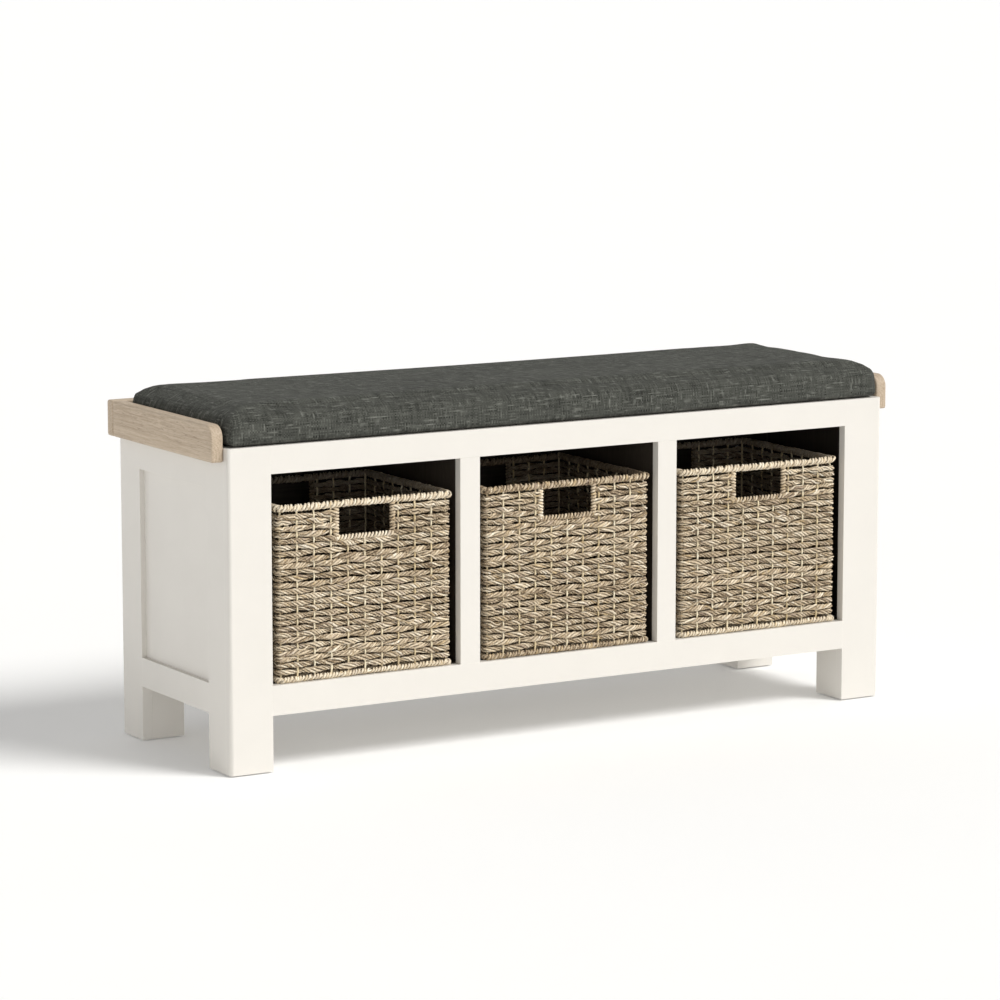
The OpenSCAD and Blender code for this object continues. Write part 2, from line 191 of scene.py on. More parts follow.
@dataclass
class Effect:
    """A shader node group that several finishes share."""

    name: str
    inputs: dict[str, object]
    outputs: dict[str, str]
    fill: Callable[[Net, dict[str, Socket]], dict[str, Socket]]

    def tree(self) -> bpy.types.NodeTree:
        """Builds the group the first time that it is asked for.

        Returns:
            The group's node tree.
        """
        if self.name in bpy.data.node_groups:
            return bpy.data.node_groups[self.name]
        tree = bpy.data.node_groups.new(self.name, "ShaderNodeTree")
        kinds = {float: "NodeSocketFloat", tuple: "NodeSocketColor", str: "NodeSocketVector"}
        for name, value in self.inputs.items():
            made = tree.interface.new_socket(name, in_out="INPUT", socket_type=kinds[type(value)])
            if not isinstance(value, str):
                made.default_value = value
        for name, kind in self.outputs.items():
            tree.interface.new_socket(name, in_out="OUTPUT", socket_type="NodeSocket" + kind)
        net = Net(tree)
        source = tree.nodes.new("NodeGroupInput")
        made = self.fill(net, {s.name: s for s in source.outputs if s.name})
        sink = tree.nodes.new("NodeGroupOutput")
        for name, socket in made.items():
            tree.links.new(socket, sink.inputs[name])
        return tree

    def place(self, net: Net, values: dict[str, object]) -> dict[str, Socket]:
        """Places the group in a material.

        Args:
            net: The material's nodes.
            values: A value or a socket for each of the group's inputs.

        Returns:
            The group's outputs by name.
        """
        node = net.node("Group", node_tree=self.tree())
        for name, value in values.items():
            if isinstance(value, Socket):
                net.tree.links.new(value, node.inputs[name])
            else:
                node.inputs[name].default_value = value
        return {s.name: s for s in node.outputs}


def fill_edge_wear(net: Net, given: dict[str, Socket]) -> dict[str, Socket]:
    """Finds the sharp outer edges of a part and wears them in patches.

    Args:
        net: The group's nodes.
        given: The group's inputs.

    Returns:
        The worn colour and the mask.
    """
    near = net.node("AmbientOcclusion", {"Distance": given["Width"]}, samples=4, inside=True,
                    only_local=True).outputs["AO"]
    edge = net.spread(near, 0.97, 0.7)
    patches = net.spread(net.noise(net.place(), 45.0, 3.0, 0.6), 0.3, 0.62)
    mask = net.math("MULTIPLY", net.times(edge, patches), given["Amount"], clamp=True)
    return {"Colour": net.mix(mask, given["Colour"], given["Worn"]), "Mask": mask}


EDGE_WEAR = Effect(
    "Edge wear",
    {"Colour": rgba((0.8, 0.8, 0.8)), "Worn": rgba((0.9, 0.9, 0.9)), "Width": 0.002, "Amount": 0.5},
    {"Colour": "Color", "Mask": "Float"},
    fill_edge_wear,
)


def fill_board_grain(net: Net, given: dict[str, Socket]) -> dict[str, Socket]:
    """Cuts a board out of a log, with rings about a pith and fibres and pores along X.

    Args:
        net: The group's nodes.
        given: The group's inputs.

    Returns:
        The rings, the fibres and the pores, each from 0 to 1, and the height.
    """
    board = given["Board"]
    bend = net.noise(net.scaled(board, (7.0, 55.0, 55.0)), 1.0, 3.0, 0.6)
    parts = net.parts(board)
    across = net.plus(parts[1], net.times(bend, given["Wander"]))
    depth = net.plus(parts[2], given["Pith"])
    radius = net.node("VectorMath", {0: net.joined(across, depth)}, operation="LENGTH")
    turns = net.math("DIVIDE", radius.outputs["Value"], given["Ring"])
    rings = net.spread(net.math("FRACT", turns), 0.0, 1.0)
    fibres = net.noise(net.scaled(board, (22.0, 620.0, 620.0)), 1.0, 4.0, 0.62, 0.3)
    dashes = net.noise(net.scaled(board, (110.0, 1250.0, 1250.0)), 1.0, 2.0, 0.5, 0.6)
    late_wood = net.spread(rings, 0.15, 0.9, 0.35, 1.0)
    pores = net.times(net.spread(dashes, 0.56, 0.68), late_wood)
    height = net.math("SUBTRACT", net.times(fibres, 0.5), pores)
    return {"Rings": rings, "Fibres": fibres, "Pores": pores, "Height": height}


BOARD_GRAIN = Effect(
    "Board grain",
    {"Board": "", "Ring": 0.004, "Pith": 0.03, "Wander": 0.02},
    {"Rings": "Float", "Fibres": "Float", "Pores": "Float", "Height": "Float"},
    fill_board_grain,
)


def fill_plain_weave(net: Net, given: dict[str, Socket]) -> dict[str, Socket]:
    """Weaves uneven threads over and under each other, on a sheet folded down over a block.

    Args:
        net: The group's nodes.
        given: The group's inputs. Place is about the block's middle, at the height of the fold.

    Returns:
        The thread tone, the slubs and the height.
    """
    at = net.parts(given["Place"])
    turned = net.parts(net.vector("ABSOLUTE", given["Facing"]))
    end = net.math("GREATER_THAN", turned[0], turned[1])
    drop = net.math("MINIMUM", at[2], 0.0)

    def folded(value: Socket, share: Socket) -> Socket:
        """Carries on a level distance down the sides of the block."""
        down = net.times(net.times(net.math("SIGN", value), drop), share)
        return net.math("SUBTRACT", value, down)

    across = net.math("DIVIDE", folded(at[0], end), given["Pitch"])
    along = net.math("DIVIDE", folded(at[1], net.math("SUBTRACT", 1.0, end)), given["Pitch"])
    ends = net.joined(across, along, 0.5)
    over = net.node("TexChecker", {"Vector": ends, "Scale": 1.0}).outputs["Fac"]

    def thread(number: Socket, length: Socket, slow: float, far: float) -> Socket:
        """Gives each thread of one set its own tone, with slow changes along it."""
        own = net.times(net.math("FLOOR", number), 0.73)
        return net.noise(net.joined(own, net.times(length, slow), far), 1.0, 2.0, 0.55)

    def bulge(value: Socket) -> Socket:
        """Gives the round section of the threads that lie across a direction."""
        return net.math("ABSOLUTE", net.math("SINE", net.times(value, math.pi)))

    def choose(off: Socket, on: Socket) -> Socket:
        """Takes one value where the warp is below and the other where it is above."""
        return net.node("Mix", {0: over, 2: off, 3: on}, data_type="FLOAT").outputs[0]

    tone = choose(thread(across, along, 0.045, 3.0), thread(along, across, 0.045, 17.0))
    slub_a = net.spread(thread(across, along, 0.1, 31.0), 0.6, 0.74)
    slub_b = net.spread(thread(along, across, 0.08, 47.0), 0.58, 0.72)
    slubs = net.math("MAXIMUM", slub_a, slub_b)
    warp_shape, weft_shape = bulge(across), bulge(along)
    high = choose(net.times(warp_shape, weft_shape), warp_shape)
    height = net.plus(high, net.times(slubs, 0.4))
    return {"Tone": tone, "Slubs": slubs, "Height": height}


PLAIN_WEAVE = Effect(
    "Plain weave",
    {"Place": "", "Facing": "", "Pitch": 0.002},
    {"Tone": "Float", "Slubs": "Float", "Height": "Float"},
    fill_plain_weave,
)


def fill_strand_fibre(net: Net, given: dict[str, Socket]) -> dict[str, Socket]:
    """Runs dry fibres in a spiral round a strand, with slow changes of tone along it.

    Args:
        net: The group's nodes.
        given: The group's inputs.

    Returns:
        The fibres, the tone and the height.
    """
    leaves = net.noise(net.scaled(given["Fibre"], (34.0, 1.15, 1.15)), 1.0, 2.0, 0.5, 0.3)
    fibres = net.noise(net.scaled(given["Fibre"], (50.0, 3.4, 3.4)), 1.0, 3.0, 0.6, 0.3)
    slow = net.noise(net.scaled(given["Fibre"], (16.0, 0.3, 0.3), (9.0, 0.0, 0.0)), 1.0, 2.0, 0.6)
    own = net.plus(net.times(slow, 0.55), net.times(given["Strand"], 0.3))
    tone = net.plus(own, net.times(leaves, 0.75))
    height = net.plus(net.times(leaves, 0.7), net.times(fibres, 0.3))
    return {"Fibres": fibres, "Tone": net.spread(tone, 0.5, 1.08), "Height": height}


STRAND_FIBRE = Effect(
    "Strand fibre",
    {"Fibre": "", "Strand": 0.5},
    {"Fibres": "Float", "Tone": "Float", "Height": "Float"},
    fill_strand_fibre,
)


def fill_within(net: Net, given: dict[str, Socket]) -> dict[str, Socket]:
    """Marks the places inside an upright box.

    Args:
        net: The group's nodes.
        given: The group's inputs.

    Returns:
        The mask.
    """
    away = net.vector("SUBTRACT", given["Place"], given["Middle"])
    parts = net.parts(net.vector("SUBTRACT", given["Half"], net.vector("ABSOLUTE", away)))
    least = net.math("MINIMUM", net.math("MINIMUM", parts[0], parts[1]), parts[2])
    return {"Mask": net.math("GREATER_THAN", least, 0.0)}


WITHIN = Effect(
    "Within",
    {"Place": "", "Middle": "", "Half": ""},
    {"Mask": "Float"},
    fill_within,
)


# ---------- finishes ----------


@dataclass(frozen=True)
class Finish:
    """A finish that builds its own material, once."""

    name: str
    slot: str

    def material(self) -> bpy.types.Material:
        """Builds the material the first time that it is asked for.

        Returns:
            The finish's material.
        """
        name = self.name + "_finish"
        if name in bpy.data.materials:
            return bpy.data.materials[name]
        made = bpy.data.materials.new(name)
        made.use_nodes = True
        made.node_tree.nodes.clear()
        net = Net(made.node_tree)
        shader = net.node("BsdfPrincipled")
        net.node("OutputMaterial", {"Surface": shader.outputs[0]})
        self.dress(net, shader)
        return made

    def dress(self, net: Net, shader: bpy.types.Node) -> None:
        """Adds the finish's own nodes and values."""
        raise NotImplementedError

    def connect(self, net: Net, shader: bpy.types.Node, colour: Socket, rough: Socket,
                height: Socket, depth: float) -> None:
        """Links a colour, a roughness and a bump to the shader.

        Args:
            net: The material's nodes.
            shader: The Principled BSDF.
            colour: Feeds the base colour.
            rough: Feeds the roughness.
            height: The relief, from 0 to 1.
            depth: The depth of the relief in metres.
        """
        bump = net.node("Bump", {"Height": height, "Distance": depth, "Strength": 1.0})
        net.tree.links.new(colour, shader.inputs["Base Color"])
        net.tree.links.new(rough, shader.inputs["Roughness"])
        net.tree.links.new(bump.outputs[0], shader.inputs["Normal"])

    def board_place(self, net: Net, grain: Axis, centre: Sequence[float]) -> Socket:
        """Gives the place in a board, with X along its grain and its centre at the origin."""
        place = net.scaled(net.place(), (1, 1, 1), [-c for c in centre])
        parts = net.parts(place)
        order = {Axis.X: (0, 1, 2), Axis.Y: (1, 2, 0), Axis.Z: (2, 0, 1)}[grain]
        return net.joined(*(parts[k] for k in order))


@dataclass(frozen=True)
class SatinPaint(Finish):
    """Sprayed satin paint over close-grained boards, with painted shade inside the bays: a dark
    colour that stands for the shade there.
    """

    colour: Colour = (0.725, 0.697, 0.648)
    worn: Colour = (0.78, 0.755, 0.7)
    # Painted shade: the two dark colours below colour the faces inside the bays, standing for the
    # shade that falls there.
    bay_shade: Colour = (0.062, 0.05, 0.038)
    bay_shade_dark: Colour = (0.04, 0.032, 0.024)
    grain: Axis = Axis.X
    roughness: float = 0.4
    # The box inside the bays whose faces get the painted shade.
    inside: tuple[Place, Place] = ((0, 0, 0), (0, 0, 0))

    def dress(self, net: Net, shader: bpy.types.Node) -> None:
        """Adds the faint mottle, the grain that shows through, the orange peel and the painted
        shade inside the bays.
        """
        board = self.board_place(net, self.grain, (0, 0, 0))
        mottle = net.noise(board, 14.0, 4.0, 0.6)
        raised = net.noise(net.scaled(board, (9.0, 420.0, 420.0)), 1.0, 3.0, 0.6)
        peel = net.noise(board, 1100.0, 1.0, 0.4)
        shade = net.mix(net.spread(mottle, 0.3, 0.7), rgba(self.colour),
                        rgba(tuple(c * 0.975 for c in self.colour)))
        worn = EDGE_WEAR.place(net, {"Colour": shade, "Worn": rgba(self.worn), "Width": 0.0016,
                                     "Amount": 0.5})
        # Painted shade: faces inside the box of the bays take the dark colours instead of the
        # paint.
        low, high = (np.array(corner) for corner in self.inside)
        bay_shade_mask = WITHIN.place(net, {"Place": net.place(), "Middle": tuple((low + high) / 2),
                                 "Half": tuple((high - low) / 2)})["Mask"]
        bay_shaded = net.mix(net.spread(raised, 0.35, 0.65), rgba(self.bay_shade), rgba(self.bay_shade_dark))
        colour = net.mix(bay_shade_mask, worn["Colour"], bay_shaded)
        satin = net.spread(mottle, 0.25, 0.75, self.roughness - 0.05, self.roughness + 0.06)
        rough = net.plus(satin, net.times(bay_shade_mask, 0.25))
        height = net.plus(net.times(raised, 0.7), net.times(peel, 0.3))
        self.connect(net, shader, colour, rough, height, 0.00004)
        shader.inputs["Specular IOR Level"].default_value = 0.4


@dataclass(frozen=True)
class LimedWood(Finish):
    """Open-grained wood with pale lime or lacquer over its rings, fibres and pores."""

    light: Colour = (0.585, 0.48, 0.36)
    dark: Colour = (0.35, 0.262, 0.18)
    pore: Colour = (0.2, 0.14, 0.09)
    worn: Colour = (0.7, 0.6, 0.48)
    grain: Axis = Axis.X
    centre: Place = (0.0, 0.0, 0.0)
    ring: float = 0.0042
    pith: float = 0.03
    wander: float = 0.035
    pore_amount: float = 0.75
    roughness: float = 0.55

    def dress(self, net: Net, shader: bpy.types.Node) -> None:
        """Colours the rings, the fibres and the pores, and pales the edges."""
        board = self.board_place(net, self.grain, self.centre)
        cut = BOARD_GRAIN.place(net, {"Board": board, "Ring": self.ring, "Pith": self.pith,
                                      "Wander": self.wander})
        streak = net.plus(net.times(net.spread(cut["Fibres"], 0.32, 0.68), 0.6),
                          net.times(cut["Rings"], 0.4))
        body = net.mix(streak, rgba(self.light), rgba(self.dark))
        pored = net.mix(net.times(cut["Pores"], self.pore_amount), body, rgba(self.pore))
        clouds = net.spread(net.noise(board, 9.0, 3.0, 0.55), 0.3, 0.7, 0.0, 0.22)
        clouded = net.mix(clouds, pored, rgba(self.light))
        worn = EDGE_WEAR.place(net, {"Colour": clouded, "Worn": rgba(self.worn), "Width": 0.0035,
                                     "Amount": 0.55})
        rough = net.spread(cut["Fibres"], 0.3, 0.7, self.roughness - 0.08, self.roughness + 0.1)
        self.connect(net, shader, worn["Colour"], rough, cut["Height"], 0.00014)
        shader.inputs["Specular IOR Level"].default_value = 0.35


@dataclass(frozen=True)
class PaintedBayShade(LimedWood):
    """Painted shade on the boards inside the bays: a dark colour that stands for the shade there.
    """

    light: Colour = (0.068, 0.054, 0.041)
    dark: Colour = (0.045, 0.035, 0.026)
    pore: Colour = (0.02, 0.015, 0.011)
    worn: Colour = (0.09, 0.072, 0.056)
    pore_amount: float = 0.5
    roughness: float = 0.6


@dataclass(frozen=True)
class Beech(LimedWood):
    """Close-grained bare beech."""

    light: Colour = (0.7, 0.52, 0.33)
    dark: Colour = (0.56, 0.38, 0.22)
    pore: Colour = (0.4, 0.25, 0.14)
    ring: float = 0.003
    wander: float = 0.01
    pore_amount: float = 0.35


@dataclass(frozen=True)
class Plywood(Finish):
    """Sheet with a veneered face and stacked plies along its edges."""

    face: Colour = (0.6, 0.46, 0.3)
    dark: Colour = (0.48, 0.34, 0.2)
    ply: Colour = (0.36, 0.23, 0.13)
    through: Axis = Axis.Z
    ply_t: float = 0.0015

    def dress(self, net: Net, shader: bpy.types.Node) -> None:
        """Shows the veneer on the faces and the plies on the edges."""
        board = self.board_place(net, Axis.X, (0, 0, 0))
        cut = BOARD_GRAIN.place(net, {"Board": board, "Ring": 0.006, "Pith": 0.2, "Wander": 0.05})
        veneer = net.mix(net.spread(cut["Fibres"], 0.3, 0.7), rgba(self.face), rgba(self.dark))
        place = net.parts(net.place())
        layer = net.math("PINGPONG", place[self.through.value], self.ply_t)
        odd = net.spread(layer, self.ply_t * 0.45, self.ply_t * 0.55)
        plies = net.mix(odd, veneer, rgba(self.ply))
        facing = net.parts(net.node("NewGeometry").outputs["True Normal"])
        on_face = net.math("GREATER_THAN", net.math("ABSOLUTE", facing[self.through.value]), 0.7)
        colour = net.mix(on_face, plies, veneer)
        rough = net.spread(cut["Fibres"], 0.3, 0.7, 0.5, 0.68)
        self.connect(net, shader, colour, rough, cut["Height"], 0.00008)


@dataclass(frozen=True)
class SlubLinen(Finish):
    """Plain-woven cloth of uneven threads with a little fuzz."""

    dark: Colour = (0.018, 0.0186, 0.016)
    light: Colour = (0.125, 0.129, 0.112)
    slub: Colour = (0.235, 0.24, 0.212)
    pitch: float = 0.0021
    depth: float = 0.0004
    centre: Place = (0.0, 0.0, 0.0)

    def dress(self, net: Net, shader: bpy.types.Node) -> None:
        """Tones the threads one by one, lifts the slubs and darkens the low places between the
        threads with painted shade.
        """
        place = net.scaled(net.place(), (1, 1, 1), [-c for c in self.centre])
        facing = net.node("NewGeometry").outputs["Normal"]
        cloth = PLAIN_WEAVE.place(net, {"Place": place, "Facing": facing, "Pitch": self.pitch})
        threads = net.mix(net.spread(cloth["Tone"], 0.3, 0.7), rgba(self.dark), rgba(self.light))
        slubbed = net.mix(net.times(cloth["Slubs"], 0.6), threads, rgba(self.slub))
        # Painted shade: the low places between the threads are darkened.
        gaps = net.mix(net.spread(cloth["Height"], 0.0, 0.5, 0.4, 1.0),
                       rgba(tuple(c * 0.35 for c in self.dark)), slubbed)
        worn = net.spread(net.noise(place, 6.0, 4.0, 0.65), 0.35, 0.65, 0.0, 0.14)
        colour = net.mix(worn, gaps, rgba(self.light))
        rough = net.spread(cloth["Tone"], 0.3, 0.7, 0.82, 0.95)
        self.connect(net, shader, colour, rough, cloth["Height"], self.depth)
        shader.inputs["Specular IOR Level"].default_value = 0.1
        shader.inputs["Sheen Weight"].default_value = 0.03
        shader.inputs["Sheen Roughness"].default_value = 0.5


@dataclass(frozen=True)
class DustCloth(SlubLinen):
    """Thin black cloth of fine even threads."""

    dark: Colour = (0.012, 0.012, 0.012)
    light: Colour = (0.03, 0.03, 0.03)
    slub: Colour = (0.04, 0.04, 0.04)
    pitch: float = 0.0008
    depth: float = 0.0001
    centre: Place = (0.0, 0.0, -1.0)


@dataclass(frozen=True)
class DriedGrass(Finish):
    """Twisted strands of dried grass, each with its own tone."""

    tones: tuple[Colour, ...] = (
        (0.085, 0.052, 0.029), (0.32, 0.235, 0.145), (0.54, 0.43, 0.29), (0.7, 0.58, 0.415),
        (0.88, 0.77, 0.59), (0.96, 0.89, 0.74),
    )
    golden: Colour = (0.72, 0.51, 0.22)
    dusky: Colour = (0.42, 0.32, 0.275)
    # Painted shade: the shadow colour, up to the shade share, darkens the sides of the strands
    # marked in their mesh.
    shadow: Colour = (0.055, 0.036, 0.021)
    shade: float = 0.75
    tint: float = 0.4
    depth: float = 0.00045

    def dress(self, net: Net, shader: bpy.types.Node) -> None:
        """Runs the fibres and the tones along the strands, and darkens the marked sides with
        painted shade.
        """
        fibre = net.node("Attribute", attribute_name=StrandMesh.FIBRE).outputs["Vector"]
        strand = net.node("Attribute", attribute_name=StrandMesh.TONE).outputs["Fac"]
        grass = STRAND_FIBRE.place(net, {"Fibre": fibre, "Strand": strand})
        tone = net.ramp(grass["Tone"], self.tones)
        hue = net.noise(net.scaled(fibre, (21.0, 0.25, 0.25), (40.0, 3.0, 3.0)), 1.0, 2.0, 0.5)
        warmed = net.mix(net.spread(hue, 0.56, 0.68, 0.0, self.tint), tone, rgba(self.golden))
        greyed = net.mix(net.spread(hue, 0.44, 0.34, 0.0, self.tint), warmed, rgba(self.dusky))
        streaks = net.spread(grass["Fibres"], 0.42, 0.3, 0.0, 0.7)
        streaked = net.mix(streaks, greyed, rgba(self.tones[0]))
        deep = net.node("Attribute", attribute_name=StrandMesh.SHADE_MARK).outputs["Fac"]
        # Painted shade: the marked sides of the strands, towards a cord's core and into the basket,
        # take the shadow colour.
        shaded = net.mix(net.spread(deep, 0.1, 0.85, 0.0, self.shade), streaked, rgba(self.shadow))
        rough = net.spread(grass["Fibres"], 0.3, 0.7, 0.5, 0.75)
        self.connect(net, shader, shaded, rough, grass["Height"], self.depth)
        shader.inputs["Specular IOR Level"].default_value = 0.3


@dataclass(frozen=True)
class PeeledCane(DriedGrass):
    """Peeled cane, paler than the grass."""

    tones: tuple[Colour, ...] = (
        (0.5, 0.38, 0.2), (0.74, 0.61, 0.38), (0.88, 0.78, 0.56), (0.94, 0.87, 0.69),
    )
    tint: float = 0.35
    shade: float = 0.4


@dataclass(frozen=True)
class Metal(Finish):
    """Plated steel with fine drawing lines and a dull bloom."""

    colour: Colour = (0.62, 0.62, 0.64)
    bloom: Colour = (0.48, 0.48, 0.49)

    def dress(self, net: Net, shader: bpy.types.Node) -> None:
        """Adds the spangle, the lines and the bloom."""
        place = net.place()
        spangle = net.node("TexVoronoi", {"Vector": place, "Scale": 420.0}).outputs["Distance"]
        lines = net.noise(net.scaled(place, (60.0, 60.0, 4000.0)), 1.0, 2.0)
        colour = net.mix(net.spread(spangle, 0.2, 0.8), rgba(self.colour), rgba(self.bloom))
        rough = net.spread(lines, 0.3, 0.7, 0.28, 0.45)
        self.connect(net, shader, colour, rough, lines, 0.00002)
        shader.inputs["Metallic"].default_value = 1.0


@dataclass(frozen=True)
class MouldedPlastic(Finish):
    """Hard moulded plastic with a fine spark texture and scuffs."""

    colour: Colour = (0.035, 0.035, 0.037)
    scuff: Colour = (0.1, 0.1, 0.1)

    def dress(self, net: Net, shader: bpy.types.Node) -> None:
        """Adds the texture and the scuffs."""
        place = net.place()
        grain = net.noise(place, 2600.0, 2.0)
        scuffs = net.spread(net.noise(net.scaled(place, (300.0, 60.0, 60.0)), 1.0, 3.0), 0.58, 0.72)
        colour = net.mix(net.times(scuffs, 0.5), rgba(self.colour), rgba(self.scuff))
        rough = net.spread(scuffs, 0.0, 1.0, 0.45, 0.7)
        self.connect(net, shader, colour, rough, grain, 0.00003)


@dataclass(frozen=True)
class OpenFoam(Finish):
    """Cut seat foam with open cells."""

    colour: Colour = (0.8, 0.72, 0.5)
    cell: Colour = (0.55, 0.47, 0.3)

    def dress(self, net: Net, shader: bpy.types.Node) -> None:
        """Adds the cells."""
        place = net.place()
        cells = net.node("TexVoronoi", {"Vector": place, "Scale": 900.0}).outputs["Distance"]
        colour = net.mix(net.spread(cells, 0.1, 0.6), rgba(self.cell), rgba(self.colour))
        rough = net.spread(cells, 0.0, 0.8, 0.95, 0.85)
        self.connect(net, shader, colour, rough, cells, 0.0003)


# ---------- mesh tools ----------


def new_object(name: str, mesh: bpy.types.Mesh, finish: Finish, body: str) -> bpy.types.Object:
    """Makes a visible piece of a mesh.

    Args:
        name: The piece's name.
        mesh: Its mesh, in metres in the bench's frame.
        finish: Its finish.
        body: The body that it rides on.

    Returns:
        The new object.
    """
    piece = bpy.data.objects.new(name, mesh)
    bpy.context.scene.collection.objects.link(piece)
    mesh.materials.clear()
    mesh.materials.append(finish.material())
    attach(piece, body)
    return piece


def level(flat: Array) -> Array:
    """Gives level directions or places, in two numbers each, a height of zero."""
    return np.column_stack([flat, np.zeros(len(flat))])


def smooth(mesh: bpy.types.Mesh) -> None:
    """Shades every face of a mesh smooth."""
    mesh.polygons.foreach_set("use_smooth", np.ones(len(mesh.polygons), bool))


def apply_modifiers(piece: bpy.types.Object) -> None:
    """Puts the result of an object's modifiers into its mesh and removes them."""
    graph = bpy.context.evaluated_depsgraph_get()
    made = bpy.data.meshes.new_from_object(piece.evaluated_get(graph))
    old = piece.data
    piece.modifiers.clear()
    piece.data = made
    bpy.data.meshes.remove(old)


def round_edges(piece: bpy.types.Object, width: float, segments: int) -> bpy.types.Modifier:
    """Bevels the sharp edges of a piece and gives the modifier."""
    bevel = piece.modifiers.new("rounded edges", "BEVEL")
    bevel.width = width
    bevel.segments = segments
    bevel.limit_method = "ANGLE"
    bevel.angle_limit = EASED_ANGLE
    return bevel


def rounded_outline(width: float, height: float, radii: Sequence[float], steps: int = 8) -> Array:
    """Draws a rectangle whose corners are rounded, each by its own radius.

    Args:
        width: The size along the first axis, from the origin.
        height: The size along the second axis, from the origin.
        radii: The radius at the corners (0, 0), (w, 0), (w, h) and (0, h).
        steps: The number of segments in a corner.

    Returns:
        The outline's points, one row each.
    """
    corners = ((0, 0, 1, 1), (width, 0, -1, 1), (width, height, -1, -1), (0, height, 1, -1))
    points = []
    for k, ((x, y, sx, sy), r) in enumerate(zip(corners, radii)):
        if r <= 0:
            points.append((x, y))
            continue
        start = math.pi * (1.0 + 0.5 * k)
        for i in range(steps + 1):
            angle = start + 0.5 * math.pi * i / steps
            points.append((x + sx * r + r * math.cos(angle), y + sy * r + r * math.sin(angle)))
    return np.array(points)


def prism(name: str, outline: Array, axis: Axis, start: float, end: float) -> bpy.types.Mesh:
    """Extrudes an outline along an axis.

    Args:
        name: The mesh's name.
        outline: Points in the two other axes, in the order of their names.
        axis: The axis to extrude along.
        start: The near end.
        end: The far end.

    Returns:
        The mesh of the prism.
    """
    rest = [i for i in range(3) if i != axis.value]
    work = bmesh.new()
    rings = []
    for level in (start, end):
        ring = []
        for p in outline:
            point = [0.0, 0.0, 0.0]
            point[axis.value], point[rest[0]], point[rest[1]] = level, p[0], p[1]
            ring.append(work.verts.new(point))
        rings.append(ring)
    count = len(outline)
    work.faces.new(rings[0])
    work.faces.new(rings[1])
    for i in range(count):
        after = (i + 1) % count
        work.faces.new((rings[0][i], rings[0][after], rings[1][after], rings[1][i]))
    bmesh.ops.recalc_face_normals(work, faces=work.faces)
    mesh = bpy.data.meshes.new(name)
    work.to_mesh(mesh)
    work.free()
    return mesh


